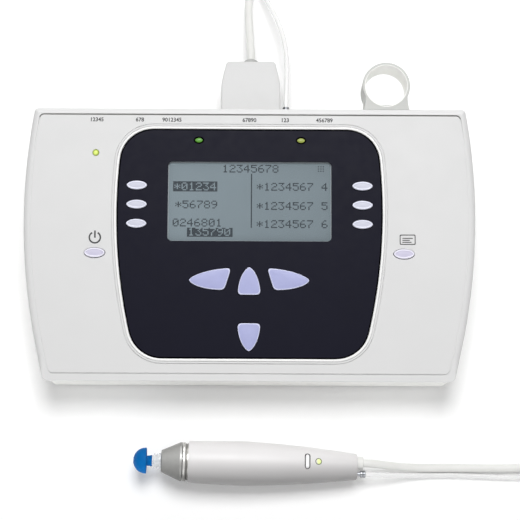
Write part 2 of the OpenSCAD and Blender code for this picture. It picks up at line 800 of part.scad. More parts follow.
fascia_clear = 0.15;
foot_pocket = 0.6;
foot_places = [[94, 60], [88, -60]];

module upper_case() {
    color("whitesmoke") in_frame()
        difference() {
            union() {
                difference() {
                    on_face()
                        hull() {
                            translate([0, 0, -lid_h])
                                linear_extrude(lid_h - edge_round)
                                    polygon(case_outline(0));
                            translate([0, 0, -edge_round * 0.3])
                                linear_extrude(eps)
                                    polygon(case_outline(edge_round * 0.3));
                            translate([0, 0, -eps])
                                linear_extrude(eps)
                                    polygon(case_outline(edge_round));
                        }
                    on_face(0, 0, -lid_h - 1)
                        linear_extrude(lid_h + 1 - wall)
                            polygon(case_outline(wall));
                }
                on_face(0, 0, -eps)
                    linear_extrude(step_h + eps)
                        polygon(fascia_outline(-fascia_clear - rim_w - step_w));
                on_face(0, 0, -eps)
                    linear_extrude(rim_h + eps)
                        polygon(fascia_outline(-fascia_clear - rim_w));
                for (p = case_screw_places)
                    translate([p[0], p[1], plane_z(p[1], -lid_h)])
                        cylinder(r = lid_post_r, h = plane_z(p[1], -1.5) - plane_z(p[1], -lid_h));
                for (p = key_board_screws)
                    on_face(p[0], p[1], -key_board_deep)
                        cylinder(r = boss_r, h = key_board_deep - wall + 1);
            }
            for (p = case_screw_places)
                translate([p[0], p[1], plane_z(p[1], -lid_h) - 1])
                    cylinder(r = case_screw_r + screw_clear, h = case_screw_bite + 1.5);
            for (p = key_board_screws)
                on_face(p[0], p[1], -key_board_deep - 1)
                    cylinder(r = screw_r + screw_clear, h = 1 + key_board_deep - wall);
            on_face(0, 0, -fascia_pocket)
                linear_extrude(fascia_pocket + rim_h + 1)
                    polygon(fascia_outline(-fascia_clear));
            on_face(0, 0, -wall - 1) {
                linear_extrude(wall + 1)
                    screen_opening(0);
                translate([0, 0, wall + 1 - fascia_pocket - window_t])
                    linear_extrude(window_t + eps)
                        screen_opening(window_ledge + 0.1);
            }
            on_face() {
                key_wells(-wall - 1, 1);
                lamp_wells(-wall - 1, 1);
                translate([0, 0, -groove_d])
                    linear_extrude(groove_d + 1)
                        difference() {
                            polygon(groove_outline(0));
                            polygon(groove_outline(groove_w));
                        }
            }
        }
}

module screen_opening(grow, r = 0) {
    w = screen_w + 2 * grow;
    h = screen_h + 2 * grow;
    translate([0, screen_v]) {
        square([w - 2 * r, h], center = true);
        square([w, h - 2 * r], center = true);
        if (r > 0)
            for (x = [-1, 1], y = [-1, 1])
                translate([x * (w / 2 - r), y * (h / 2 - r)])
                    circle(r = r);
    }
}

lamp_clear = 0.15;

module lamp_wells(low, high) {
    for (s = [-1, 1])
        translate([s * ear_lamp_x, ear_lamp_v, low])
            linear_extrude(high - low)
                oval(ear_lamp_l + 2 * lamp_clear, ear_lamp_w + 2 * lamp_clear);
    translate([-power_lamp_x, power_lamp_v, low])
        cylinder(r = power_lamp_r + lamp_clear, h = high - low);
}

module fascia_panel() {
    color("#20222e") in_frame()
        on_face()
            difference() {
                translate([0, 0, -fascia_pocket])
                    linear_extrude(fascia_pocket - fascia_sunk)
                        polygon(fascia_outline(0));
                translate([0, 0, -fascia_pocket - 1])
                    linear_extrude(fascia_pocket + 2)
                        screen_opening(0, screen_r);
                key_wells(-fascia_pocket - 1, 1);
                lamp_wells(-fascia_pocket - 1, 1);
            }
}

module lcd_window() {
    color("#9aa8ad", 0.6) in_frame()
        on_face(0, 0, -fascia_pocket - window_t)
            linear_extrude(window_t)
                screen_opening(window_ledge);
}

frame_top = wall + 0.3;
glass_grow = 4;
frame_side = 1;

module lcd_frame() {
    color("silver") in_frame()
        on_face()
            difference() {
                translate([0, 0, -key_board_deep])
                    linear_extrude(key_board_deep - frame_top)
                        screen_opening(frame_rim);
                translate([0, 0, -key_board_deep - 1])
                    linear_extrude(key_board_deep + 1 - frame_top - frame_t)
                        screen_opening(glass_grow);
                translate([0, 0, -key_board_deep - 1])
                    linear_extrude(key_board_deep + 1)
                        screen_opening(0.5);
            }
}

module lcd_glass() {
    color("#84929a") in_frame()
        on_face(0, 0, -frame_top - frame_t - glass_t)
            linear_extrude(glass_t)
                screen_opening(glass_grow);
}

key_board_back = 68;
key_board_front = 64;

module key_board() {
    color("darkgreen") in_frame()
        difference() {
            on_face(-board_half, -key_board_front, -key_board_deep - board_t)
                cube([2 * board_half, key_board_front + key_board_back, board_t]);
            for (p = key_board_screws)
                on_face(p[0], p[1], -key_board_deep - board_t - 1)
                    cylinder(r = screw_r + plate_clear, h = board_t + 2);
        }
}

module tactile_switches() {
    color("dimgray") in_frame()
        for (k = key_places)
            on_face(k[1], k[2], -key_board_deep) {
                translate([-switch_half, -switch_half, 0])
                    cube([2 * switch_half, 2 * switch_half, switch_h - 0.5]);
                cylinder(r = 1.6, h = switch_h);
            }
}

module ear_lamps() {
    color("yellowgreen") in_frame()
        for (s = [-1, 1])
            on_face(s * ear_lamp_x, ear_lamp_v, -key_board_deep)
                linear_extrude(key_board_deep + 0.1)
                    oval(ear_lamp_l, ear_lamp_w);
}

module power_lamp() {
    color("greenyellow") in_frame()
        on_face(-power_lamp_x, power_lamp_v, -key_board_deep) {
            cylinder(r = power_lamp_r, h = key_board_deep + 0.1);
            translate([0, 0, key_board_deep + 0.1 - power_lamp_r * 0.6])
                intersection() {
                    sphere(r = power_lamp_r);
                    cylinder(r = power_lamp_r, h = power_lamp_r);
                }
        }
}

main_board_gap = 0.3;

module main_board() {
    color("darkgreen") in_frame()
        difference() {
            translate([-board_half, main_board_front, main_board_z])
                cube([2 * board_half, panel_in_y - main_board_gap - main_board_front, board_t]);
            for (p = main_board_screws)
                translate([p[0], p[1], main_board_z - 1])
                    cylinder(r = screw_r + plate_clear, h = board_t + 2);
        }
}

module chip(x, y, w, d, h) {
    translate([x - w / 2, y - d / 2, main_board_top])
        cube([w, d, h]);
}

// Processor, sound chip, memory, power module and pump driver: place, width, depth and height of each
chips = [[-20, 38, 20, 20, 2], [8, 34, 12, 8, 1.8], [-48, 30, 14, 10, 2.4], [62, 24, 16, 12, 8],
    [-84, 40, 12, 12, 9]];
cell_place = [-50, 52];
cell_r = 10;
cell_h = 3.6;
capacitor_xs = [84, 72];
capacitor_y = 44;
capacitor_r = 4;
capacitor_h = 11;

module board_components() {
    color("#303338") in_frame() {
        for (c = chips)
            chip(c[0], c[1], c[2], c[3], c[4]);
        translate([cell_place[0], cell_place[1], main_board_top])
            cylinder(r = cell_r, h = cell_h);
        for (x = capacitor_xs)
            translate([x, capacitor_y, main_board_top])
                cylinder(r = capacitor_r, h = capacitor_h);
    }
}

module pump_motor() {
    color("silver") in_frame()
        along_x(pump_plate_x - motor_l, pump_y, pump_z)
            cylinder(r = motor_r, h = motor_l);
}

module pump_screw() {
    color("slategray") in_frame()
        along_x(pump_plate_x + 0.1, pump_y, pump_z)
            cylinder(r = lead_r, h = lead_to - pump_plate_x - 0.1);
}

module pump_piston() {
    color("white") in_frame()
        difference() {
            union() {
                along_x(piston_x, pump_y, pump_z)
                    cylinder(r = pump_bore_r - pump_clear, h = piston_t);
                along_x(piston_x - piston_rod_l, pump_y, pump_z)
                    cylinder(r = piston_rod_r, h = piston_rod_l + 1);
            }
            along_x(piston_x - piston_rod_l - 1, pump_y, pump_z)
                cylinder(r = lead_r + pump_clear, h = piston_rod_l + 1 + piston_hollow);
        }
}

module pump_cylinder() {
    color("gainsboro") in_frame()
        difference() {
            union() {
                translate([pump_plate_x, pump_y - pump_half, inner_floor_z])
                    cube([pump_tube_to + pump_cap - pump_plate_x, 2 * pump_half, pump_foot_t]);
                translate([pump_plate_x, pump_y - pump_half, inner_floor_z])
                    cube([pump_plate_t, 2 * pump_half, pump_z + motor_r - inner_floor_z]);
                along_x(pump_tube_from, pump_y, pump_z)
                    cylinder(r = pump_tube_r, h = pump_tube_to + pump_cap - pump_tube_from);
                along_x(pump_tube_to, pump_y, pump_z)
                    cylinder(r = pump_port_r, h = pump_cap + pump_port_l);
                for (x = [pump_tube_from + 4, pump_tube_to - 6])
                    translate([x, pump_y - pump_half + 2, inner_floor_z])
                        cube([3, 2 * pump_half - 4, pump_z - inner_floor_z]);
            }
            along_x(pump_tube_from - 1, pump_y, pump_z)
                cylinder(r = pump_bore_r, h = pump_tube_to - pump_tube_from + 1);
            along_x(pump_plate_x - 1, pump_y, pump_z)
                cylinder(r = 4, h = pump_plate_t + 2);
            along_x(pump_tube_to - 1, pump_y, pump_z)
                cylinder(r = 0.8, h = pump_cap + pump_port_l + 2);
        }
}

manifold_front = 60;
manifold_rear = 74;
manifold_half = 6;

module pressure_manifold() {
    color("#c8b060") in_frame() {
        translate([air_x - manifold_half, manifold_front, main_board_top])
            cube([2 * manifold_half, manifold_rear - manifold_front, 14]);
        along_y(air_x, manifold_front - 3, axis_z)
            cylinder(r = pump_port_r, h = 3.5);
    }
}

module inner_air_hose() {
    color("lightgray") in_frame()
        swept_tube(hose_path, 1.75, 8);
}

module power_socket() {
    color("#26282c") in_frame() {
        difference() {
            union() {
                translate([power_x - 4.5, panel_in_y - 13, main_board_top])
                    cube([9, 12.9, 11]);
                along_y(power_x, panel_in_y - 0.2, low_axis_z)
                    cylinder(r = power_nose_r, h = wall + 0.2 - socket_shy);
            }
            along_y(power_x, panel_in_y - 8, low_axis_z)
                cylinder(r = power_hole_r, h = 20);
        }
        along_y(power_x, panel_in_y - 9, low_axis_z)
            cylinder(r = power_pin_r, h = 9 + wall - 1);
    }
}

module data_socket() {
    color("silver") in_frame() {
        difference() {
            translate([data_x - data_body_w / 2, panel_in_y - 13, main_board_top])
                cube([data_body_w, 13 + wall - socket_shy, data_body_h]);
            translate([data_x - data_mouth_w / 2, panel_in_y - 6.5, low_axis_z - data_mouth_h / 2])
                cube([data_mouth_w, 20, data_mouth_h]);
        }
        translate([data_x - 2.8, panel_in_y - 7, low_axis_z - 1.6])
            cube([5.6, 7 + wall - 1.5, 3.2]);
    }
}

module printer_socket() {
    color("#26282c") in_frame() {
        difference() {
            union() {
                translate([printer_x - 7, panel_in_y - 13, main_board_top])
                    cube([14, 12.9, 13]);
                along_y(printer_x, panel_in_y - 0.2, axis_z)
                    cylinder(r = printer_nose_r - 0.6, h = wall + 0.2 - socket_shy);
            }
            along_y(printer_x, panel_in_y - 5, axis_z)
                cylinder(r = printer_hole_r, h = 20);
        }
        for (a = [30:60:330])
            along_y(printer_x + 2.8 * cos(a), panel_in_y - 5.5, axis_z + 2.8 * sin(a))
                cylinder(r = 0.5, h = 6.5, $fn = 16);
    }
}

module probe_socket() {
    color("silver") in_frame()
        difference() {
            union() {
                translate([-15.4, panel_in_y - 12, main_board_top])
                    cube([30.8, 11.9, 12.6]);
                shell_block(shell_w, shell_h, panel_in_y - 0.2, rear_y + shell_out);
            }
            shell_block(shell_w - 2 * shell_t, shell_h - 2 * shell_t, panel_in_y + 1.5, rear_y + 20);
        }
}

// Lock on the air port, into which the tube's end is screwed
lock_r = 3.2;
lock_l = 10;

module air_port() {
    color("silver") in_frame()
        difference() {
            union() {
                along_y(air_x, manifold_rear, axis_z)
                    cylinder(r = air_body_r, h = rear_y - manifold_rear + 0.5);
                along_y(air_x, rear_y, axis_z)
                    cylinder(r = 4, h = 1.4);
                along_y(air_x, rear_y + 1, axis_z)
                    cylinder(r = lock_r, h = lock_l);
                along_y(air_x, rear_y + lock_l, axis_z)
                    cylinder(r = 1.7, h = port_l - lock_l - 1);
                along_y(air_x, rear_y + port_l - 2.4, axis_z)
                    cylinder(r = 2.1, h = 2.4);
            }
            along_y(air_x, manifold_rear - 1, axis_z)
                cylinder(r = 0.6, h = rear_y + port_l - manifold_rear - 1);
        }
}

bush_out = 2.4;

module headphone_jack() {
    color("#303236") in_frame()
        difference() {
            union() {
                translate([jack_x - 7, panel_in_y + bush_out - jack_bore_l, main_board_top])
                    cube([14, jack_bore_l - bush_out - 0.1, 13]);
                along_y(jack_x, panel_in_y - 0.2, axis_z)
                    cylinder(r = jack_bush_r, h = wall + 0.2 + bush_out);
                along_y(jack_x, rear_y, axis_z)
                    cylinder(r = 7, h = 1.8, $fn = 6);
            }
            along_y(jack_x, rear_y + bush_out - jack_bore_l, axis_z)
                cylinder(r = jack_r, h = jack_bore_l + 1);
        }
}

module rubber_feet() {
    color("#3c3e42") in_frame()
        for (s = [-1, 1], p = foot_places)
            translate([s * p[0], p[1], 0])
                cylinder(r = foot_r, h = base_z + foot_pocket);
}

module case_screws() {
    color("silver") in_frame()
        for (p = case_screw_places)
            translate([p[0], p[1], plane_z(p[1], -lid_h) - case_screw_grip])
                rotate([180, 0, 0])
                    round_screw(case_screw_r, case_screw_grip + case_screw_bite);
}

module board_screws() {
    color("silver") in_frame() {
        for (p = key_board_screws)
            on_face(p[0], p[1], -key_board_deep - board_t)
                rotate([180, 0, 0])
                    round_screw(screw_r, board_t + key_board_deep - wall - 0.6);
        for (p = main_board_screws)
            translate([p[0], p[1], main_board_top])
                round_screw(screw_r, main_board_top - inner_floor_z - 0.6);
    }
}

module probe_holder() {
    color("gainsboro") in_frame()
        difference() {
            union() {
                on_ring() {
                    translate([0, 0, -ring_h])
                        cylinder(r = ring_out_r, h = ring_h);
                    translate([-block_half, -ring_out_r - block_ahead, -ring_h])
                        cube([2 * block_half, block_d, ring_h]);
                }
                translate([ring_x - pad_half, rear_y, web_low])
                    cube([2 * pad_half, web_l, pad_top - web_low]);
                translate([ring_x - pad_half, rear_y, pad_low])
                    cube([2 * pad_half, pad_t, pad_top - pad_low]);
            }
            on_ring()
                translate([0, 0, -ring_h - 1])
                    cylinder(r = ring_r, h = ring_h + 2);
            for (s = [-1, 1])
                along_y(ring_x + s * holder_screw_dx, rear_y - 1, holder_screw_z)
                    cylinder(r = screw_r + plate_clear, h = pad_t + 2);
        }
}

module holder_screws() {
    color("silver") in_frame()
        for (s = [-1, 1])
            along_y(ring_x + s * holder_screw_dx, rear_y + pad_t, holder_screw_z)
                round_screw(screw_r, pad_t + rear_y - rear_boss_y - 1);
}

module soft_key(side, row) {
    color("#d2d2e3") in_frame()
        sprung_key(["soft", side * soft_x, soft_vs[row]]);
}

module arrow_key(kind, x, v) {
    color("#b4b8e0") in_frame()
        sprung_key([kind, x, v]);
}

module oval_key(side) {
    color("#d2d2e3") in_frame()
        sprung_key(["oval", side * oval_x, oval_v]);
}

module probe_handle() {
    color("whitesmoke") in_frame()
        on_probe()
            difference() {
                handle_body(0);
                rod(core_bore_r, -handle_front - 1, core_bore_to);
                rod(mid_bore_r, core_bore_to - 1, mid_bore_to);
                rod(rear_bore_r, mid_bore_to - 1, handle_rear - handle_end_t);
                rod(boot_neck_r, mid_bore_to, handle_rear + 1, cable_off);
                rod(fitting_neck_r, mid_bore_to + 8, handle_rear + 1, air_off);
                translate([button_t, 0, 0])
                    pill(button_l + 2 * button_clear, button_w + 2 * button_clear, 20);
                translate([probe_lamp_t, 0, 0])
                    cylinder(r = probe_lamp_r, h = 20);
            }
}

button_clear = 0.25;
fitting_neck_r = 1.3;
ring_inner_r = 7;
ring_gap_l = 1.5;

module probe_thread_ring() {
    color("silver") in_frame()
        on_probe()
            spun([[ring_inner_r, -handle_front - ring_gap_l - thread_l], [thread_r, -handle_front - ring_gap_l - thread_l],
                [thread_r, -handle_front - ring_gap_l], [nose_r - 0.6, -handle_front - ring_gap_l],
                [nose_r - 0.6, -handle_front], [core_bore_r - 0.02, -handle_front],
                [core_bore_r - 0.02, -handle_front + 4], [ring_inner_r, -handle_front + 4]]);
}

nose_rear = -handle_front - ring_gap_l - 0.05;
nose_front = nose_rear - nose_l;
nose_bore_r = thread_r + thread_clear;
tip_mouth_r = 4.8;
tip_shoulder = nose_front + 2.2;

module probe_nose_cone() {
    color("#8c8c8c") in_frame()
        on_probe()
            spun([[tip_mouth_r, nose_front], [nose_mouth_r, nose_front], [nose_r, nose_rear - nose_rim_l],
                [nose_r, nose_rear - 0.3], [nose_r - 0.3, nose_rear], [nose_bore_r, nose_rear],
                [nose_bore_r, nose_rear - thread_l - 0.4], [6.5, tip_shoulder], [tip_mouth_r, tip_shoulder]]);
}

tip_front = nose_front - 5.3;
tip_nipple_r = 1.6;
tip_nipple_l = 7;
tip_socket_r = 2.6;
core_front = 4.3 - handle_front;

module probe_tip() {
    color("#e8eef2") in_frame()
        on_probe()
            spun([[0.8, tip_front - tip_nipple_l], [tip_nipple_r, tip_front - tip_nipple_l],
                [tip_nipple_r, tip_front], [3.3, tip_front], [3.3, tip_front + 1], [4.6, tip_front + 1],
                [4.6, tip_front + 1.8], [3.3, tip_front + 1.8], [3.3, tip_front + 3.2], [4.6, tip_front + 3.2],
                [4.6, tip_shoulder + 0.1], [6, tip_shoulder + 0.1], [6, tip_shoulder + 2.4],
                [5, tip_shoulder + 2.4], [5, core_front - 0.3], [tip_socket_r, core_front - 0.3],
                [tip_socket_r, core_front - 9], [0.8, core_front - 9]]);
}

ear_tip_rear = tip_front - 3.4;
ear_tip_stem_r = 3.2;

module ear_tip() {
    color("#1f86cc") in_frame()
        on_probe()
            spun(concat(
                [[tip_nipple_r + 0.05, tip_front - 0.1], [tip_nipple_r + 0.05, ear_tip_rear - ear_tip_l]],
                [for (a = [75:-15:0]) [max(ear_tip_r * cos(a), 2.4), ear_tip_rear - ear_tip_l * sin(a)]],
                [for (a = [0:15:60]) [max((ear_tip_r - 1.1) * cos(a), ear_tip_stem_r),
                    ear_tip_rear - (ear_tip_l - 2) * sin(a)]],
                [[ear_tip_stem_r, tip_front - 0.1]]
            ));
}

module probe_core() {
    color("#505860") in_frame()
        on_probe()
            difference() {
                union() {
                    rod(core_bore_r - 0.02, core_front, -6);
                    rod(tip_socket_r - 0.1, core_front - 7, core_front + 1);
                }
                rod(0.8, core_front - 8, core_front + 3);
            }
}

module probe_board() {
    color("darkgreen") in_frame()
        on_probe() {
            translate([probe_board_from, -probe_board_w / 2, probe_board_z - probe_board_t])
                cube([probe_board_l, probe_board_w, probe_board_t]);
            translate([button_t - probe_switch_w / 2, -probe_switch_w / 2, probe_board_z - eps])
                cube([probe_switch_w, probe_switch_w, probe_switch_h + eps]);
        }
}

module probe_button() {
    color("gainsboro") in_frame()
        on_probe()
            intersection() {
                union() {
                    translate([button_t, 0, button_low])
                        pill(button_l, button_w, 20);
                    translate([button_t - button_w / 2 - 0.8, -button_l / 2 + 0.6, button_low])
                        cube([button_w + 1.6, button_l - 1.2, 2]);
                }
                handle_body(0.35);
            }
}

module probe_lamp() {
    color("greenyellow") in_frame()
        on_probe()
            intersection() {
                translate([probe_lamp_t, 0, probe_board_z])
                    cylinder(r = probe_lamp_r, h = 20);
                handle_body(0.2);
            }
}

module cable_boot() {
    color("whitesmoke") in_frame()
        on_probe() {
            rod(boot_r, handle_rear, handle_rear + boot_l, cable_off);
            rod(boot_neck_r - 0.02, handle_rear - handle_end_t, handle_rear + 1, cable_off);
        }
}

module probe_air_fitting() {
    color("silver") in_frame()
        on_probe() {
            rod(fitting_neck_r - 0.02, handle_rear - handle_end_t, handle_rear + 3, air_off);
            rod(2.1, handle_rear + 2, handle_rear + fitting_l, air_off);
        }
}

module plug_connector() {
    color("silver") in_frame() {
        translate([-15.3, hood_from - 0.8, axis_z - 6.1])
            cube([30.6, 0.8, 12.2]);
        shell_block(shell_w - 2 * shell_t - 0.4, shell_h - 2 * shell_t - 0.4, panel_in_y + 2, hood_from - 0.5);
    }
}

module plug_hood() {
    color("gainsboro") in_frame() {
        hull() {
            translate([-hood_w / 2, hood_from, axis_z - hood_t / 2 + 1])
                cube([hood_w, hood_straight, hood_t - 2]);
            translate([-hood_w / 2 + 1, hood_from, axis_z - hood_t / 2])
                cube([hood_w - 2, hood_straight, hood_t]);
            for (s = [-1, 1])
                translate([s * (hood_end_w / 2 - hood_corner_r), hood_to - hood_corner_r, axis_z - hood_t / 2 + 0.6])
                    cylinder(r = hood_corner_r, h = hood_t - 1.2, $fn = 24);
        }
        along_y(0, hood_to - 1, axis_z)
            cylinder(r = gland_r, h = gland_l + 1);
    }
}

module cable_rear_run() {
    color("#eeeeea") in_frame()
        swept_tube(cable_rear_path, cable_r, 8);
}

module cable_coil() {
    color("#eeeeea") in_frame()
        swept_tube(cable_path, cable_r, 6);
}

module cable_front_run() {
    color("#eeeeea") in_frame()
        swept_tube(cable_front_path, cable_r, 8);
}

module tube_rear_run() {
    color("#e4e8ea") in_frame()
        swept_tube(tube_rear_path, tube_r, 8);
}

module tube_coil() {
    color("#e4e8ea") in_frame()
        swept_tube(tube_path, tube_r, 6);
}

module tube_front_run() {
    color("#e4e8ea") in_frame()
        swept_tube(tube_front_path, tube_r, 8);
}

lower_case();
upper_case();
fascia_panel();
lcd_window();
lcd_frame();
lcd_glass();
key_board();
tactile_switches();
ear_lamps();
power_lamp();
main_board();
board_components();
pump_motor();
pump_screw();
pump_piston();
pump_cylinder();
pressure_manifold();
inner_air_hose();
power_socket();
data_socket();
printer_socket();
probe_socket();
air_port();
headphone_jack();
rubber_feet();
case_screws();
board_screws();
probe_holder();
holder_screws();
soft_key(-1, 0);  // soft_key_left_1
soft_key(-1, 1);  // soft_key_left_2
soft_key(-1, 2);  // soft_key_left_3
soft_key(1, 0);  // soft_key_right_1
soft_key(1, 1);  // soft_key_right_2
soft_key(1, 2);  // soft_key_right_3
arrow_key("left", -side_key_x, side_key_v);  // arrow_key_left
arrow_key("right", side_key_x, side_key_v);  // arrow_key_right
arrow_key("up", 0, up_key_v);  // arrow_key_up
arrow_key("down", 0, down_key_v);  // arrow_key_down
oval_key(-1);  // power_key
oval_key(1);  // display_key
probe_handle();
probe_nose_cone();
probe_thread_ring();
probe_tip();
ear_tip();
probe_core();
probe_board();
probe_button();
probe_lamp();
cable_boot();
probe_air_fitting();
plug_hood();
plug_connector();
cable_rear_run();
cable_coil();
cable_front_run();
tube_rear_run();
tube_coil();
tube_front_run();
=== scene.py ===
# Tympanometer: a sloping desk console with keys and a screen, and a hand probe on a cable and an air tube.
# Blender works in metres. Sizes here are millimetres, in the frame of the console, its face or the probe.

from math import atan2, ceil, cos, pi, radians, sin, sqrt

import bmesh
import bpy
from mathutils import Matrix, Vector
from mathutils.geometry import tessellate_polygon


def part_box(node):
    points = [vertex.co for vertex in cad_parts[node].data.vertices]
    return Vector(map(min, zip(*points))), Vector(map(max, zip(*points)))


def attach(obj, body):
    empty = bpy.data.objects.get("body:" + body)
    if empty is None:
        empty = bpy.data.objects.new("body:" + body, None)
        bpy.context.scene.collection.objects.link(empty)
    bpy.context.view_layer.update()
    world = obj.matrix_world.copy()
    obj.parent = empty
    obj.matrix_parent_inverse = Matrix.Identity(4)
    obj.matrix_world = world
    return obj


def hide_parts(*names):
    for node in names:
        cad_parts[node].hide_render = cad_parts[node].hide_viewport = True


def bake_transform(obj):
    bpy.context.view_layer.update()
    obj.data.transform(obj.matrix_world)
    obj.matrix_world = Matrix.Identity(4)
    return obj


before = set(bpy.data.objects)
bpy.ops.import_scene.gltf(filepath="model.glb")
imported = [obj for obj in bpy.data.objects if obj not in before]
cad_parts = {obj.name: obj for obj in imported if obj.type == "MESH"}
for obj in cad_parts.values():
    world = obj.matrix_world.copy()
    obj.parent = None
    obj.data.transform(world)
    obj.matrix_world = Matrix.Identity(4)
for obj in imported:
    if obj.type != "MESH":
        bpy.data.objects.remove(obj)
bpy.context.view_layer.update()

MM = 0.001

# Driving sizes, as in the solids that this script dresses
CASE_W, CASE_D, CASE_MID, CASE_H = 271.2, 164.2, 1.8, 60.25
BACK_Y = CASE_D / 2 + CASE_MID
FRAME_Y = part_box("upper_case")[1].y / MM - BACK_Y
SLOPE = radians(10)
LID_H, REVEAL, WALL = 11, 0.8, 2.5
FACE_LEN = (CASE_D - LID_H * sin(SLOPE)) / cos(SLOPE)
FACE_BACK = FACE_LEN / 2 + CASE_MID / cos(SLOPE)
FACE_FRONT = FACE_BACK - FACE_LEN
FACE_Y = -LID_H * sin(SLOPE) / 2
FACE_Z = CASE_H - FACE_BACK * sin(SLOPE)
REAR_Y = BACK_Y - REVEAL * cos(SLOPE)
BASE_Z, AXIS_Z, LOW_AXIS_Z = 2, 18.1, 17.1
PROBE_PITCH, PROBE_YAW, PROBE_ROLL = radians(2.5), radians(-1), radians(-3.7)
PROBE_Y = -126.1
HANDLE_FRONT, HANDLE_REAR = -35.4, 64.3
BELLY_T, BELLY_R, FRONT_TAPER, REAR_TAPER = -4, 13, 0.9, 5.4


def handle_r(t):
    """Radius of the probe's handle at t along its axis."""
    if t < BELLY_T:
        return BELLY_R - FRONT_TAPER * ((BELLY_T - t) / (BELLY_T - HANDLE_FRONT)) ** 2
    return BELLY_R - REAR_TAPER * ((t - BELLY_T) / (HANDLE_REAR - BELLY_T)) ** 1.6


HANDLE_TS = [HANDLE_FRONT + (HANDLE_REAR - 0.8 - HANDLE_FRONT) * i / 14 for i in range(15)]
PROBE_Z = max(handle_r(t) * cos(PROBE_PITCH) + t * sin(PROBE_PITCH) for t in HANDLE_TS) + 0.1

CONSOLE = Matrix.Scale(MM, 4) @ Matrix.Translation((0, FRAME_Y, 0))
FACE = CONSOLE @ Matrix.Translation((0, FACE_Y, FACE_Z)) @ Matrix.Rotation(SLOPE, 4, "X")
PROBE = (CONSOLE @ Matrix.Translation((0, PROBE_Y, PROBE_Z)) @ Matrix.Rotation(PROBE_YAW, 4, "Z")
         @ Matrix.Rotation(PROBE_PITCH, 4, "Y"))
ROLLED = PROBE @ Matrix.Rotation(PROBE_ROLL, 4, "X")


def on_probe(t, y=0, z=0):
    """A point of the probe, in the console's millimetres."""
    return CONSOLE.inverted() @ PROBE @ Vector((t, y, z))


def linked(name, data):
    """An object of the scene."""
    obj = bpy.data.objects.new(name, data)
    bpy.context.scene.collection.objects.link(obj)
    return obj


# Camera
CAMERA_AT = (0.0064, FRAME_Y * MM - 0.2887, 0.8783)
CAMERA_TILT, CAMERA_ROLL = radians(71.5), radians(0.28)
CAMERA_LENS, SENSOR_W = 102.2, 36

camera = linked("camera", bpy.data.cameras.new("camera"))
camera.data.lens = CAMERA_LENS
camera.data.sensor_width = SENSOR_W
camera.matrix_world = (Matrix.Translation(CAMERA_AT) @ Matrix.Rotation(pi / 2 - CAMERA_TILT, 4, "X")
                       @ Matrix.Rotation(CAMERA_ROLL, 4, "Z"))
bpy.context.scene.camera = camera


# Finishes
def srgb(*screen):
    """Linear colour of a colour given in 8-bit screen values."""
    return [c / 255 / 12.92 if c < 11 else ((c / 255 + 0.055) / 1.055) ** 2.4 for c in screen]


def add(tree, kind, inputs, output=0, **settings):
    """A shader node whose inputs get values or outputs of other nodes. Returns one of its outputs."""
    node = tree.nodes.new("ShaderNode" + kind)
    for key, value in settings.items():
        setattr(node, key, value)
    for key, value in inputs.items():
        if isinstance(value, bpy.types.NodeSocket):
            tree.links.new(value, node.inputs[key])
        else:
            node.inputs[key].default_value = value
    return node.outputs[output]


NOISE_LOW, NOISE_HIGH, GRAIN_STRENGTH = 0.3, 0.7, 0.6


def finish(name, tone, rough, spread, patch, relief=0.004, fine=0.3, gloss=0.5, turn=(0, 0, 0),
           stretch=(1, 1, 1), **sockets):
    """A material whose tone and roughness wander over patches, with a fine relief. Sizes are millimetres."""
    material = bpy.data.materials.new(name)
    material.use_nodes = True
    tree = material.node_tree
    shader = tree.nodes["Principled BSDF"].inputs
    shader["Specular IOR Level"].default_value = gloss
    for socket, value in sockets.items():
        shader[socket.replace("_", " ")].default_value = value
    place = add(tree, "Mapping", {"Vector": add(tree, "TexCoord", {}, "Object"), "Rotation": turn,
                                  "Scale": stretch})

    def noise(size, detail=3.0):
        return add(tree, "TexNoise", {"Vector": place, "Scale": 1 / (size * MM), "Detail": detail})

    def between(value, low, high):
        return add(tree, "MapRange", {"Value": value, "From Min": NOISE_LOW, "From Max": NOISE_HIGH,
                                      "To Min": low, "To Max": high})

    low, high = [[min(c * (1 + share), 1) for c in srgb(*tone)] + [1] for share in (-spread, spread)]
    colour = add(tree, "Mix", {0: between(noise(patch), 0, 1), 6: low, 7: high}, 2, data_type="RGBA")
    wander = min(0.05, rough / 3)
    bump = add(tree, "Bump", {"Distance": relief * MM, "Strength": GRAIN_STRENGTH,
                              "Height": noise(fine, 2.0)})
    tree.links.new(colour, shader["Base Color"])
    tree.links.new(between(noise(patch / 3), rough - wander, rough + wander), shader["Roughness"])
    tree.links.new(bump, shader["Normal"])
    return material


# The way along which the probe's painted shade darkens: to the front and down.
PROBE_FRONT = Vector((0, -sin(CAMERA_TILT), -cos(CAMERA_TILT)))


def toned(material, light, dark, start, end, way=PROBE_FRONT, origin=PROBE.translation):
    """Lets a finish run from a light to a darker tone between two distances along a way, in millimetres. On
    the probe and the hood this is painted shade, and a tone above one is a painted highlight.
    """
    tree = material.node_tree
    base = tree.nodes["Principled BSDF"].inputs["Base Color"]
    along = add(tree, "VectorMath", {0: add(tree, "TexCoord", {}, "Object"), 1: way}, "Value",
                operation="DOT_PRODUCT")
    share = add(tree, "MapRange", {"Value": along, "From Min": origin.dot(way) + start * MM, "To Min": light,
                                   "From Max": origin.dot(way) + end * MM, "To Max": dark},
                interpolation_type="SMOOTHSTEP")
    level = add(tree, "HueSaturation", {"Value": share, "Color": base.links[0].from_socket})
    tree.links.new(level, base)
    return material


TURNED = {"stretch": (1, 0.02, 0.02), "turn": (0, -PROBE_PITCH, -PROBE_YAW)}
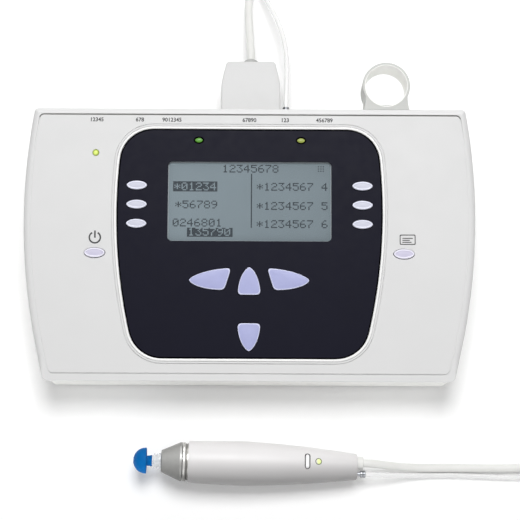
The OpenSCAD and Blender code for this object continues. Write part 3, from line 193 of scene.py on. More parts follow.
# Each row: name, tone, roughness, spread of the tone, size of its patches, depth and size of the grain
SHELL = finish("case_plastic", (216, 216, 216), 0.5, 0.01, 30, 0.012, 0.6)
# Lighter copy of the case plastic: painted light on the lower shell's shaded walls.
SHELL_LOW_LIT = finish("case_plastic_low_painted_light", (253, 253, 250), 0.55, 0.012, 30, 0.015, 0.6)
# Lighter copy of the case plastic: painted light on the lid's front wall.
SHELL_FRONT_LIT = finish("case_plastic_front_painted_light", (248, 248, 246), 0.5, 0.01, 30, 0.012, 0.6)
# Lighter copy of the case plastic: painted highlight on the band behind the groove.
SHELL_BACK_LIT = finish("case_plastic_back_painted_highlight", (225, 225, 225), 0.5, 0.01, 30, 0.012, 0.6)
GROOVE_SHADE = finish("groove_shade", (166, 166, 163), 0.6, 0.05, 12, 0.01, 0.6, gloss=0.1)
RIM_WHITE = finish("rim_plastic", (243, 243, 242), 0.3, 0.008, 20, 0.004, 0.6)
FASCIA = finish("fascia_gloss", (20, 20, 33), 0.4, 0.04, 14, 0.002, 0.35, gloss=0.06)
# Near black: painted shade along the fascia's edge and round the ear lamps.
FASCIA_EDGE_SHADE = finish("fascia_edge_painted_shade", (2, 2, 3), 0.6, 0.1, 14, 0.002, 0.35, gloss=0.0)
SCREEN = toned(finish("screen_glass", (130, 144, 151), 0.5, 0.03, 34, 0.001, 0.5, gloss=0.1), 1.04, 0.91,
               -49, 49, Vector((1, 0, 0)), CONSOLE.translation)
SCREEN_EDGE = finish("screen_edge", (172, 181, 186), 0.5, 0.03, 6, 0.001, 0.5, gloss=0.1)
SCREEN_INK = finish("screen_ink", (36, 45, 53), 0.5, 0.06, 3, 0.001, 0.5, gloss=0.1)
WINDOW = finish("clear_window", (150, 158, 164), 0.2, 0.01, 20, 0.0002, 1.0, 0.05, Alpha=0.06)
PRINT = finish("print_dark", (34, 35, 37), 0.5, 0.06, 1.5, 0.002, 0.3)
# Each key top has a lighter copy of its finish: a painted highlight on its bevel and rim.
KEY_LAVENDER = finish("arrow_key_top", (163, 167, 210), 0.42, 0.03, 5)
KEY_LAVENDER_HIGHLIGHT = finish("arrow_key_painted_highlight", (216, 219, 246), 0.3, 0.02, 5, 0.003, 0.3)
KEY_PALE = finish("soft_key_top", (198, 200, 215), 0.42, 0.025, 4)
KEY_PALE_HIGHLIGHT = finish("soft_key_painted_highlight", (226, 228, 244), 0.3, 0.015, 4, 0.003, 0.3)
KEY_OVAL = finish("oval_key_top", (200, 196, 218), 0.42, 0.025, 4)
KEY_OVAL_HIGHLIGHT = finish("oval_key_painted_highlight", (236, 234, 248), 0.3, 0.015, 4, 0.003, 0.3)
# Dark finish of the key skirts: painted shade in the gap round each key.
KEY_GAP_SHADE = finish("key_gap_painted_shade", (40, 40, 48), 0.6, 0.1, 4)
METAL = finish("sheet_metal", (188, 190, 192), 0.35, 0.03, 6, 0.003, 0.4, Metallic=1.0)
STEEL = finish("steel", (150, 152, 156), 0.28, 0.05, 4, Metallic=1.0)
PORT_METAL = finish("port_metal", (128, 130, 134), 0.3, 0.05, 4, Metallic=1.0)
BRASS = finish("brass", (196, 170, 98), 0.32, 0.05, 4, Metallic=1.0)
BOARD = finish("green_board", (24, 84, 52), 0.4, 0.12, 2.5, 0.01, 0.4)
DARK = finish("dark_plastic", (38, 40, 44), 0.45, 0.08, 4, 0.01, 0.35)
INNER = finish("inner_plastic", (214, 214, 208), 0.5, 0.03, 8, 0.01, 0.5)
RUBBER = finish("foot_rubber", (48, 49, 52), 0.8, 0.12, 3, 0.03, 0.5)
HOSE = finish("hose_rubber", (176, 178, 178), 0.5, 0.05, 3, 0.01, 0.4)
# Toned darker towards the front and underside: painted shade on the probe's handle.
PROBE_WHITE = toned(finish("probe_plastic", (233, 231, 231), 0.42, 0.01, 25, 0.006, 0.5), 1, 0.38, -7, 10)
BUTTON = finish("button_plastic", (244, 244, 244), 0.4, 0.01, 6)
# Painted shade on the walls of the button's hole.
HOLE_SHADE = finish("button_hole_painted_shade", (40, 40, 44), 0.7, 0.08, 3, gloss=0.1)
# The nose, its rim and the thread ring are toned darker underneath as painted shade, and the nose and rim
# lighter on top as painted highlight.
NOSE = toned(finish("satin_nose_painted_shade", (160, 160, 158), 0.45, 0.03, 2.5, 0.004, 0.2, Metallic=0.75),
             1.15, 0.55, -8, 9)
NOSE_RIM = toned(finish("bright_rim_painted_shade", (216, 215, 212), 0.3, 0.03, 2.0, 0.001, 0.2, Metallic=0.8, **TURNED),
                 1.05, 0.3, -6, 9)
CHROME = toned(finish("chrome_ring", (184, 183, 180), 0.3, 0.03, 2.0, 0.001, 0.3, Metallic=0.9, **TURNED),
               1, 0.35, -6, 9)
CLEAR = finish("clear_tip", (236, 240, 243), 0.12, 0.02, 3, 0.002, 0.5, Alpha=0.45)
# Toned darker on top and lighter underneath: painted shade and painted highlight.
EAR_BLUE = toned(finish("ear_tip_rubber_painted_shade", (0, 112, 190), 0.5, 0.06, 3, 0.004, 0.4, gloss=0.1),
                 0.78, 1.2, -7, 7)
# Toned darker towards the console: painted shade on the hood.
HOOD = toned(finish("hood_plastic", (212, 212, 212), 0.5, 0.012, 14, 0.012, 0.45), 1, 0.9, 10, 40,
             Vector((0, -1, 0)), CONSOLE @ Vector((0, 130, 0)))
# Darker copy of the plug's plastic: painted shade on the gland.
GLAND_SHADED = finish("gland_plastic_painted_shade", (176, 177, 175), 0.5, 0.02, 5, 0.01, 0.45)
HOLDER = finish("holder_plastic", (196, 197, 194), 0.5, 0.012, 14, 0.012, 0.45)
# Lighter than the holder and faintly glowing: painted light on the ring's inner wall.
RING_INSIDE_LIT = finish("ring_inside_painted_light", (252, 252, 249), 0.5, 0.01, 14, 0.01, 0.45,
                     Emission_Color=(1, 1, 0.99, 1), Emission_Strength=0.02)
JACKET = finish("cable_jacket", (232, 232, 229), 0.45, 0.015, 6, 0.01, 0.8)
AIR_TUBE = finish("air_tube", (254, 254, 254), 0.25, 0.008, 5, 0.004, 0.6, Alpha=0.6)
STRAP = finish("strap_cloth", (72, 76, 84), 0.85, 0.14, 0.8, 0.08, 0.35)


def lamp(name, tone, glow, strength):
    return finish(name, tone, 0.35, 0.06, 1.0, 0.002, 0.4, Emission_Color=srgb(*glow) + [1],
                  Emission_Strength=strength)


LAMP_GREEN = lamp("lamp_green", (78, 140, 38), (90, 180, 40), 0.08)
LAMP_YELLOW = lamp("lamp_yellow_green", (140, 152, 66), (165, 180, 80), 0.1)
LAMP_POWER = lamp("lamp_power", (216, 234, 118), (222, 250, 110), 0.15)
LAMP_POWER_RIM = lamp("lamp_power_rim", (168, 182, 84), (190, 210, 80), 0.06)
LAMP_RING = finish("lamp_ring", (96, 104, 66), 0.5, 0.06, 2, 0.002, 0.3)
LAMP_PROBE = lamp("lamp_probe", (226, 238, 160), (228, 250, 140), 0.15)


# Meshes
class Shape:
    """Points and faces of a piece, in the millimetres of its frame. tone is the finish of the next faces."""

    def __init__(self):
        self.points = []
        self.faces = []
        self.tones = []
        self.tone = 0

    def face(self, corners):
        self.faces.append(list(corners))
        self.tones.append(self.tone)

    def ring(self, points):
        first = len(self.points)
        self.points.extend(Vector(p) for p in points)
        return list(range(first, len(self.points)))

    def join(self, a, b, closed=True, skip=()):
        for i in range(len(a) if closed else len(a) - 1):
            j = (i + 1) % len(a)
            if i not in skip:
                self.face((a[i], a[j], b[j], b[i]))

    def skin(self, rings, closed=True):
        made = [self.ring(r) for r in rings]
        for a, b in zip(made, made[1:]):
            self.join(a, b, closed)
        return made

    def fill(self, *loops):
        """Flat faces inside the first loop of point numbers and outside the others."""
        flat = [i for loop in loops for i in loop]
        for corners in tessellate_polygon([[self.points[i] for i in loop] for loop in loops]):
            self.face(flat[i] for i in corners)

    def solid(self, rings):
        """A skin that is closed at both ends."""
        made = self.skin(rings)
        self.fill(made[0])
        self.fill(made[-1])

    def fan(self, ring, tip):
        centre = self.ring([tip])[0]
        for i in range(len(ring)):
            self.face((ring[i], ring[(i + 1) % len(ring)], centre))

    def crown(self, ring, height, steps=4):
        """A domed cap of that height on a flat ring that faces +Z."""
        base = [self.points[i] for i in ring]
        middle = sum(base, Vector()) / len(base)
        for k in range(1, steps):
            share = 1 - k / steps
            lift = Vector((0, 0, height * (1 - share ** 2)))
            inner = self.ring([middle + (p - middle) * share + lift for p in base])
            self.join(ring, inner)
            ring = inner
        self.fan(ring, middle + Vector((0, 0, height)))

    def bar(self, x, y, w, h, z):
        """A flat rectangle, given by its lower left corner."""
        self.face(self.ring([(x, y, z), (x + w, y, z), (x + w, y + h, z), (x, y + h, z)]))


def build(name, shape, place, finishes, body="console", nodes=(), crease=32, merge=0.002):
    """An object from a shape, riding on a body and standing for the named nodes."""
    mesh = bpy.data.meshes.new(name)
    mesh.from_pydata([place @ p for p in shape.points], [], shape.faces)
    for made in finishes if isinstance(finishes, list) else [finishes]:
        mesh.materials.append(made)
    mesh.polygons.foreach_set("material_index", shape.tones)
    work = bmesh.new()
    work.from_mesh(mesh)
    bmesh.ops.remove_doubles(work, verts=work.verts, dist=merge * MM)
    bmesh.ops.recalc_face_normals(work, faces=work.faces)
    work.to_mesh(mesh)
    work.free()
    mesh.shade_smooth()
    mesh.set_sharp_from_angle(angle=radians(crease))
    obj = linked(name, mesh)
    obj.modifiers.new("weighted", "WEIGHTED_NORMAL").keep_sharp = True
    if body:
        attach(obj, body)
    if nodes:
        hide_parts(*nodes)
    return obj


def at(points, z):
    return [(x, y, z) for x, y in points]


def shifted(points, x, y):
    return [(px + x, py + y) for px, py in points]


def mirrored(right):
    """An outline from its right half, which ends at the top."""
    return right + [(-x, y) for x, y in reversed(right)]


def layers(outline, profile):
    """Rings of an outline along a profile of (cut, height) pairs."""
    return [at(outline(cut), z) for cut, z in profile]


def bent(before, corner, after, steps):
    """Points of a bend from one point to another, round a corner."""
    shares = [k / steps for k in range(steps + 1)]
    return [before * (1 - s) ** 2 + corner * (2 * s * (1 - s)) + after * s ** 2 for s in shares]


def rounded(corners, steps=4):
    """A profile whose corners, given as (a, b, radius), are rounded where the radius isn't nought."""
    made = []
    spots = [Vector(c[:2]) for c in corners]
    for i, (here, (_, _, radius)) in enumerate(zip(spots, corners)):
        if radius == 0 or i in (0, len(corners) - 1):
            made.append(here)
        else:
            before, after = [(spots[j] - here).normalized() * radius + here for j in (i - 1, i + 1)]
            made += bent(before, here, after, steps)
    return [tuple(p) for p in made]


def circle(r, x=0, y=0, sides=32):
    return [(x + r * cos(2 * pi * k / sides), y + r * sin(2 * pi * k / sides)) for k in range(sides)]


def spun(profile, sides=72, y=0):
    """A shape turned about the X axis from (x, radius) pairs. A radius of nought closes an end."""
    shape = Shape()
    rings = shape.skin([[(t, *p) for p in circle(r, y, 0, sides)] for t, r in profile if r > 0])
    for end in (0, -1):
        if profile[end][1] == 0:
            shape.fan(rings[end], (profile[end][0], y, 0))
    return shape


# Outlines of the case, the fascia and the keys
def arc(x, y, r, start, end, steps, skip=0):
    spots = [start + (end - start) * i / steps for i in range(skip, steps + 1 - skip)]
    return [(x + r * cos(a), y + r * sin(a)) for a in spots]


def bowed(half, mid, side, back, front, r_back, r_front, least=0.8):
    """An outline with bowed sides, as a function of the cut. It runs up the right side and down the left."""

    def corner_x(cut, y, r):
        return half - side + sqrt((side - cut - r) ** 2 - (y - mid) ** 2)

    def outline(cut):
        r1, r2 = max(r_front - cut, least), max(r_back - cut, least)
        y1, y2 = front + cut + r1, back - cut - r2
        x1, x2 = corner_x(cut, y1, r1), corner_x(cut, y2, r2)
        a1 = atan2(y1 - mid, x1 - half + side)
        a2 = atan2(y2 - mid, x2 - half + side)
        return mirrored(arc(x1, y1, r1, -pi / 2, a1, 10) + arc(half - side, mid, side - cut, a1, a2, 28, 1)
                        + arc(x2, y2, r2, a2, pi / 2, 10))

    return outline


GROOVE_IN, GROOVE_W, GROOVE_D, GROOVE_FRONT = 3.9, 0.7, 1.0, 3.5
SIDE_MID, SIDE_R = 22, 376
BASE_IN, BASE_FRONT = 3.2, 4
case_outline = bowed(CASE_W / 2, SIDE_MID, SIDE_R, FACE_BACK, FACE_FRONT, 2.5, 3.4)
groove_outline = bowed(CASE_W / 2 - GROOVE_IN, SIDE_MID, SIDE_R - GROOVE_IN, FACE_BACK - GROOVE_IN,
                       FACE_FRONT + GROOVE_FRONT, 3, 4)
base_outline = bowed(CASE_W / 2 - REVEAL - BASE_IN, SIDE_MID, SIDE_R, REAR_Y, BACK_Y - CASE_D + BASE_FRONT,
                     2.5, 3)
fascia_outline = bowed(79.7, SIDE_MID, 323, 71, -67.7, 20.3, 20.3)


def oval(length, width, point=0.0, sides=56):
    """An ellipse. point sharpens its two ends."""
    return [(x * length, y * width * abs(2 * y) ** point) for x, y in circle(0.5, sides=sides)]


def box_outline(w, h, r, x=0, y=0, steps=6):
    """A rectangle with round corners."""
    made = []
    for k, (cx, cy) in enumerate(((1, 1), (-1, 1), (-1, -1), (1, -1))):
        made += arc(x + cx * (w / 2 - r), y + cy * (h / 2 - r), r, k * pi / 2, (k + 1) * pi / 2, steps)
    return made


ARROW_POWER, ARROW_CORNER = 0.65, 0.19


def arch(w, l, grow, steps=22):
    """Pointed arch with its tip at +Y and round corners at its base."""
    half_w, full = w / 2 + grow, l + 2 * grow
    side = []
    for i in range(steps + 1):
        u = max(1 - (1 - i / steps) ** 2, ARROW_CORNER * w / l)
        p = (half_w * (1 - u ** 2) ** ARROW_POWER, full * (u - 0.5))
        if p not in side[-1:]:
            side.append(p)
    foot, corner = Vector((half_w - w * ARROW_CORNER, -full / 2)), Vector((half_w, -full / 2))
    right = [tuple(p) for p in bent(foot, corner, Vector(side[0]), 4)[:4]] + side
    return right + [(-x, y) for x, y in reversed(right[:-1])]


SIDE_KEY, MID_KEY = (13, 23), (13.6, 16.5)
SIDE_SLANT, SIDE_TILT = 0.33, radians(1.2)
KEY_RISE, KEY_DOME, KEY_CLEAR = 0.9, 0.7, 0.3


def side_arrow(grow):
    turn_x, turn_y = cos(SIDE_TILT), sin(SIDE_TILT)
    slanted = [(x, y - SIDE_SLANT * x) for x, y in arch(*SIDE_KEY, grow)]
    return [(y * turn_x + x * turn_y, x * turn_x - y * turn_y) for x, y in slanted]


KEY_OUTLINES = {
    "soft": lambda grow: oval(12.2 + 2 * grow, 5.3 + 2 * grow, 0.1),
    "oval": lambda grow: oval(12.3 + 2 * grow, 5.8 + 2 * grow, 0.06),
    "right": side_arrow,
    "left": lambda grow: [(-x, y) for x, y in side_arrow(grow)],
    "up": lambda grow: arch(*MID_KEY, grow),
    "down": lambda grow: [(x, -y) for x, y in arch(*MID_KEY, grow)],
}
SOFT_X, SOFT_V, SOFT_PITCH = 67.7, 13, 11.65
OVAL_X, OVAL_V = CASE_W / 2 - 43.3, -4.8
KEYS = {
    "arrow_key_right": ("right", 24.2, -20.6),
    "arrow_key_left": ("left", -24.2, -20.6),
    "arrow_key_up": ("up", 0, -21.5),
    "arrow_key_down": ("down", 0, -55),
    "power_key": ("oval", -OVAL_X, OVAL_V),
    "display_key": ("oval", OVAL_X, OVAL_V),
}
for row in (1, 2, 3):
    for side_name, side_sign in (("left", -1), ("right", 1)):
        KEYS[f"soft_key_{side_name}_{row}"] = ("soft", side_sign * SOFT_X, SOFT_V + (3 - row) * SOFT_PITCH)
EAR_LAMP_X, EAR_LAMP_V, EAR_LAMP, EAR_POINT, EAR_RIM = 30.8, 64.2, (4.7, 2.8), 0.22, 0.75
POWER_LAMP_AT, POWER_LAMP_R, POWER_CORE_R = (42.8 - CASE_W / 2, 56.2), 1.9, 1.25
SCREEN_W, SCREEN_H, SCREEN_V, SCREEN_R = 98.2, 48.5, 26.9, 2.7


def ear_oval(side, grow, point=EAR_POINT):
    """Outline of an ear lamp, longer and wider by that much."""
    return shifted(oval(EAR_LAMP[0] + grow, EAR_LAMP[1] + grow, point, 40), side * EAR_LAMP_X, EAR_LAMP_V)


# Cords
CABLE_D, TUBE_D, COIL_GAP = 4.8, 3.0, 0.5
PORT_L, BOOT_L, FITTING_L, CABLE_OFF, AIR_OFF = 18, 3.9, 5.2, 2.3, -4.2
CABLE_COIL = {"centre": (220, 162), "radius": 24, "turns": 2.625, "start": 90, "turn": -1, "d": CABLE_D}
TUBE_COIL = {"centre": (110, 233), "radius": 17.8, "turns": 3, "start": 270, "turn": 1, "d": TUBE_D}
# The points of each run. Stretches that lie flat on the table have one height.
CABLE_EXIT = Vector((0, 134.4, AXIS_Z))
CABLE_REAR = ([(-0.6, 148, 16.9), (-1.1, 158, 14.4), (-1.7, 169, 11.2), (-1.9, 178, 8), (-1.4, 187, 5),
              (1.4, 195, 3)] + at([(8, 201.6), (18, 204.4), (32, 205), (70, 205), (120, 205), (160, 204),
              (190, 198)], 2.5))
CABLE_FRONT = ([(250.4, 144, 6.2), (249, 126, 3.4)] + at([(246, 104), (241, 76), (234, 42), (227, 6),
               (221, -28), (217, -58), (214, -80), (209, -98), (200, -112), (187, -121), (173, -125.2),
               (158, -126), (120, -126.1)], 2.5) + [(110, -126.2, 2.6), (100, -126.3, 3.4),
               (90, -126.1, 5.4), (81, -125.6, 8)])
TUBE_EXIT = Vector((22.4, REAR_Y + PORT_L, AXIS_Z))
TUBE_REAR = ([(22.8, 113, 18.1), (22.9, 122, 18), (22.9, 134, 17.8), (22.3, 143, 17.5), (20.2, 154, 16.5),
             (17.7, 163, 15), (14, 172.5, 13), (10, 182, 11), (6, 192, 9), (4.4, 201, 7.4),
             (6.4, 209.6, 5.6), (12, 215, 3.6), (22, 217, 1.9), (36, 216, 1.6), (60, 213.6, 1.6),
             (86, 211.2, 1.6)])
TUBE_FRONT = ([(130, 211.4, 4.4), (150, 213, 2.2)] + at([(172, 213.4), (205, 212), (236, 207), (252, 196),
              (260, 178), (261, 154), (257, 118), (250, 76), (238, 14), (229, -36), (223, -74),
              (218, -98), (208, -116), (193, -126.6), (176, -131), (158, -131.6), (138, -131),
              (122, -130.5)], 1.6) + [(110, -130.6, 1.7), (100, -130.9, 3), (90, -131.3, 5.4),
              (80, -131.6, 8.2)])


def coil(centre, radius, turns, start, turn, d, steps=24):
    """A round coil of two layers: in on the lower one, up a layer in half a turn and out on the upper one."""
    made = []
    for i in range(round(2 * turns * steps) + 1):
        a = i / steps
        r = radius + (d + COIL_GAP) * (abs(a - turns) - turns / 2)
        z = d / 2 + 0.1 + (d + COIL_GAP) * min(max(a - turns + 0.25, 0) / 0.5, 1)
        angle = radians(start) + turn * 2 * pi * a
        made.append(Vector((centre[0] + r * cos(angle), centre[1] + r * sin(angle), z)))
    return made


def smooth_route(points, step):
    """Points of a smooth curve through the given ones, at most a step apart."""
    points = [Vector(p) for p in points]
    made = [points[0]]
    ends = [points[0] * 2 - points[1]] + points + [points[-1] * 2 - points[-2]]
    for p0, p1, p2, p3 in zip(ends, ends[1:], ends[2:], ends[3:]):
        d1, d2, d3 = [sqrt((b - a).length) for a, b in ((p0, p1), (p1, p2), (p2, p3))]
        tangent_1 = ((p1 - p0) / d1 ** 2 * d2 ** 3 + (p2 - p1) * d1) / (d1 + d2)
        tangent_2 = ((p2 - p1) * d3 + (p3 - p2) / d3 ** 2 * d2 ** 3) / (d2 + d3)
        count = ceil((p2 - p1).length / step)
        for k in range(1, count + 1):
            s = k / count
            made.append(p1 * (2 * s ** 3 - 3 * s ** 2 + 1) + tangent_1 * (s ** 3 - 2 * s ** 2 + s)
                        + p2 * (3 * s ** 2 - 2 * s ** 3) + tangent_2 * (s ** 3 - s ** 2))
    return made


def swept(route, r, sides):
    """A tube along a route, closed at both ends, whose rings don't twist."""
    side, rows = None, []
    for i, p in enumerate(route):
        heading = (route[min(i + 1, len(route) - 1)] - route[max(i - 1, 0)]).normalized()
        side = heading.cross(Vector((0, 0, 1))) if side is None else side - heading * side.dot(heading)
        side.normalize()
        up = side.cross(heading)
        rows.append([p + side * a + up * b for a, b in circle(r, sides=sides)])
    shape = Shape()
    rings = shape.skin(rows)
    for end in (0, -1):
        shape.fan(rings[end], route[end])
    return shape


STRAP_CLEAR, TAB_L, TAB_R = 0.15, 12, 1.6


def strap(name, spec, angle, width=7, thick=0.7):
    """A cloth strap round the turns of a coil, at that angle, with its free end laid flat on top."""
    pitch, mid = spec["d"] + COIL_GAP, spec["radius"]
    half = spec["turns"] / 2 * pitch + spec["d"] / 2 + STRAP_CLEAR
    low, top = thick / 2, 0.1 + pitch + spec["d"] + STRAP_CLEAR
    heading = Vector((cos(radians(angle)), sin(radians(angle)), 0))
    along = Vector((-heading.y, heading.x, 0))
    centre = Vector((*spec["centre"], 0))

    def spot(x, y, z):
        return centre + heading * x + along * y + Vector((0, 0, max(z, 0.02)))

    def ring(grow, r, y):
        return [spot(x, y, z) for x, z in
                box_outline(2 * half + grow, top - low + grow, r, mid, (top + low) / 2)]

    def flap(cut, z):
        return [spot(x, y, top + thick * 0.6 + z)
                for x, y in box_outline(TAB_L - 2 * cut, width - 2 * cut, TAB_R - cut, mid, 0)]

    shape = Shape()
    outer, inner = (thick, spec["d"] / 2), (-thick, max(spec["d"] / 2 - thick, 0.5))
    shape.skin([ring(*size, y * width / 2) for size, y in
                ((inner, -1), (outer, -1), (outer, 1), (inner, 1), (inner, -1))])
    shape.solid([flap(0.3, 0), flap(0, 0.15), flap(0, 0.5), flap(0.3, 0.65)])
    return build(name, shape, CONSOLE, STRAP)


def make_cord(name, prefix, spec, start, rear, front, leave, end, step, sides, made,
              tie):
    """A cord from its exit over its coil to the probe, where its end meets the probe."""
    d, loops = spec["d"], coil(**spec)
    straight = Vector((d, 0, 0))
    probe_back = (on_probe(1) - on_probe(0)).normalized()
    points = [start, start + Vector((0, d, 0))] + rear + [loops[0] - straight * 2, loops[0] - straight]
    points += loops + [loops[-1] + leave * d, loops[-1] + leave * 2 * d] + front + [end + probe_back * d, end]
    route = smooth_route(points, step)
    nodes = [f"{prefix}_{part}" for part in ("rear_run", "coil", "front_run")]
    obj = build(name, swept(route, d / 2, sides), CONSOLE, made, None, nodes, 60)
    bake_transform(obj)


make_cord("probe_cable", "cable", CABLE_COIL, CABLE_EXIT, CABLE_REAR, CABLE_FRONT, Vector((0, -1, 0)),
          on_probe(HANDLE_REAR + BOOT_L, CABLE_OFF), 3, 18, JACKET,
          strap("cable_strap", CABLE_COIL, 205))
make_cord("air_tube", "tube", TUBE_COIL, TUBE_EXIT, TUBE_REAR, TUBE_FRONT, Vector((1, 0, 0)),
          on_probe(HANDLE_REAR + FITTING_L, AIR_OFF), 2.2, 14, AIR_TUBE,
          strap("tube_strap", TUBE_COIL, 60, 6, 0.6))


# Console
def well(shape, points, top, bottom, lip=0.15):
    """Walls of a hole with a soft lip, and the ring of its mouth."""
    middle = Vector((sum(x for x, y in points), sum(y for x, y in points))) / len(points)
    size = max((Vector(p) - middle).length for p in points)
    rows = ((lip, top), (lip / 3, top - lip * 0.3), (0, top - lip), (0, bottom))
    return shape.skin([at([middle + (Vector(p) - middle) * (1 + grow / size) for p in points], z)
                       for grow, z in rows])[0]


def key_hole(name, grow=KEY_CLEAR):
    kind, x, v = KEYS[name]
    return shifted(KEY_OUTLINES[kind](grow), x, v)


FASCIA_CLEAR, RIM_W, STEP_W, RIM_H, STEP_H, RIM_GAP = 0.15, 1.4, 1.3, 0.55, 0.25, 0.22
RIM_OUT, STEP_DEEP = -FASCIA_CLEAR - RIM_W, STEP_H - 0.7
EDGE_W, EDGE_H, FRONT_SHARE, FRONT_AHEAD = 3.2, 3.0, 0.12, 0.45
FRONT_ZONE, BACK_ZONE, SIDE_DEPTH, FRONT_DEPTH = 9, 22, 0.2, 0.75


def clamped(share):
    return min(max(share, 0), 1)


def edge_ring(cut, drop):
    """A ring of the lid's rounded edge, which is tighter along the front."""
    ring = []
    tight, wide, case = [case_outline(k) for k in (cut * FRONT_SHARE, cut, 0)]
    for (x0, y0), (x1, y1), (_, y) in zip(tight, wide, case):
        s = clamped((y - FACE_FRONT - 3) / FRONT_ZONE)
        k = s * s * (3 - 2 * s)
        ring.append((x0 + (x1 - x0) * k, y0 + (y1 - y0) * k - FRONT_AHEAD * (1 - k),
                     -drop * (FRONT_SHARE + (1 - FRONT_SHARE) * k)))
    return ring


def groove_ring(cut, share):
    """A ring of the groove in the face, which is deepest along the back and shallow along the sides."""
    ring = []
    for x, y in groove_outline(cut):
        back, front = clamped((y - FACE_BACK + BACK_ZONE) / 16), clamped((FACE_FRONT + FRONT_ZONE - y) / 5)
        depth = SIDE_DEPTH + (1 - SIDE_DEPTH) * max(back, FRONT_DEPTH * front)
        ring.append((x, y, -share * GROOVE_D * depth))
    return ring


def upper_shell():
    shape = Shape()
    rows = layers(case_outline, [(WALL, -LID_H), (0.35, -LID_H), (0.1, -LID_H + 0.1), (0, -LID_H + 0.35)])
    for a in [radians(10 * i) for i in range(10)]:
        rows.append(edge_ring(EDGE_W * (1 - cos(a)), EDGE_H * (1 - sin(a))))
    edge = shape.skin(rows)
    first = len(shape.faces)
    rings = shape.skin([groove_ring(cut, depth) for cut, depth in [
        (-0.12, 0), (0, 0.12), (0.08, 1), (GROOVE_W - 0.08, 1), (GROOVE_W, 0.25), (GROOVE_W + 0.3, 0)]])
    # Groove faces along the back take the painted groove shade, the lid's front wall the painted light copy,
    # and the band behind the groove the painted highlight copy.
    for i, corners in enumerate(shape.faces):
        points = [shape.points[k] for k in corners]
        front, low = max(p.y for p in points), max(p.z for p in points)
        back = min(p.y for p in points) - FACE_BACK + GROOVE_IN
        if i >= first:
            shape.tones[i] = 1 if low < -0.1 and back > -2.5 else 0
        elif front < FACE_FRONT + FRONT_ZONE and low < -0.6 * EDGE_H * FRONT_SHARE:
            shape.tones[i] = 2
        elif back > -0.1:
            shape.tones[i] = 3
    shape.join(edge[-1], rings[0])
    out = RIM_OUT - STEP_W
    step = shape.skin(layers(fascia_outline, [
        (out - 0.42, 0), (out - 0.36, -0.45), (out - 0.06, -0.45), (out, 0.06), (out + 0.12, STEP_H),
        (RIM_OUT - RIM_GAP, STEP_H), (RIM_OUT - RIM_GAP + 0.03, STEP_DEEP), (RIM_OUT, STEP_DEEP)]))
    holes = [well(shape, points, 0, -WALL) for points in
             (key_hole("power_key"), key_hole("display_key"), circle(POWER_LAMP_R + 0.15, *POWER_LAMP_AT))]
    shape.fill(rings[-1], step[0], *holes)
    shape.skin(layers(case_outline, [(WALL, -LID_H), (WALL, -WALL), (WALL + 22, -WALL)]))
    build("upper_shell", shape, FACE, [SHELL, GROOVE_SHADE, SHELL_FRONT_LIT, SHELL_BACK_LIT], nodes=["upper_case"],
          crease=40)
    rim = Shape()
    top = [(RIM_OUT + RIM_W / 2 * (1 - cos(a)), STEP_H + (RIM_H - STEP_H) * sin(a))
           for a in [radians(22.5 * i) for i in range(9)]]
    rim.skin(layers(fascia_outline, [(RIM_OUT, STEP_DEEP)] + top + [(-FASCIA_CLEAR, -1.2), (3.5, -1.2)]))
    build("fascia_rim", rim, FACE, RIM_WHITE, crease=50)


def trapezoid(w, h, cut=0.18):
    """Outline of the plug's shell, wide side down as the socket has it."""
    return [(x * (w / 2 - (h * cut if z > 0 else 0)), AXIS_Z + z * h / 2)
            for x, z in ((-1, 1), (-1, -1), (1, -1), (1, 1))]


BASE_EDGE = 1.6
PANEL_HOLES = [circle(4.5, -92.6, LOW_AXIS_Z), box_outline(12.2, 11.2, 0.3, -66.6, LOW_AXIS_Z + 0.1),
               circle(6.5, -47.2, AXIS_Z), trapezoid(18.6, 9.2), circle(3.1, 22.4, AXIS_Z),
               circle(5, 44.9, AXIS_Z)]
SCREW_R, SCREW_DEEP, SCREWS_AT = 3.2, 9, ((112, 60), (-112, 60), (106, -64), (-106, -64))


def lower_shell():
    shape = Shape()
    inner, top = [[CONSOLE.inverted() @ FACE @ Vector(p) for p in at(case_outline(REVEAL + cut), -LID_H)]
                  for cut in (WALL, 0)]
    base = [Vector(p) for p in at(base_outline(0), BASE_Z)]
    low = [a.lerp(b, (a.z - BASE_Z - BASE_EDGE) / (a.z - BASE_Z)) for a, b in zip(top, base)]
    rings = shape.skin([inner, top]) + [shape.ring(low)]
    back = len(top) // 2 - 1
    shape.join(rings[1], rings[2], skip={back})
    for a in [radians(18 * k) for k in range(1, 6)]:
        outline = base_outline(BASE_EDGE * (1 - cos(a)))
        rings.append(shape.ring(at(outline, BASE_Z + BASE_EDGE * (1 - sin(a)))))
        shape.join(rings[-2], rings[-1])
    mouths = [shape.skin([[(x, y, z) for x, z in points] for y in (REAR_Y, REAR_Y - WALL)])[0]
              for points in PANEL_HOLES]
    shape.fill([rings[1][back], rings[1][back + 1], rings[2][back + 1], rings[2][back]], *mouths)
    bases = []
    for x, y in SCREWS_AT:
        mouth, end = shape.skin([at(circle(SCREW_R, x, y, 24), z) for z in (BASE_Z, BASE_Z + SCREW_DEEP)])
        shape.fill(end)
        bases.append(mouth)
    shape.fill(rings[-1], *bases)
    # The lower shell takes the lighter copy of the case plastic: painted light.
    build("lower_shell", shape, CONSOLE, SHELL_LOW_LIT, nodes=["lower_case"], crease=40)


FASCIA_TOP, FASCIA_LOW, FASCIA_LIP = -0.1, -1.2, 0.12


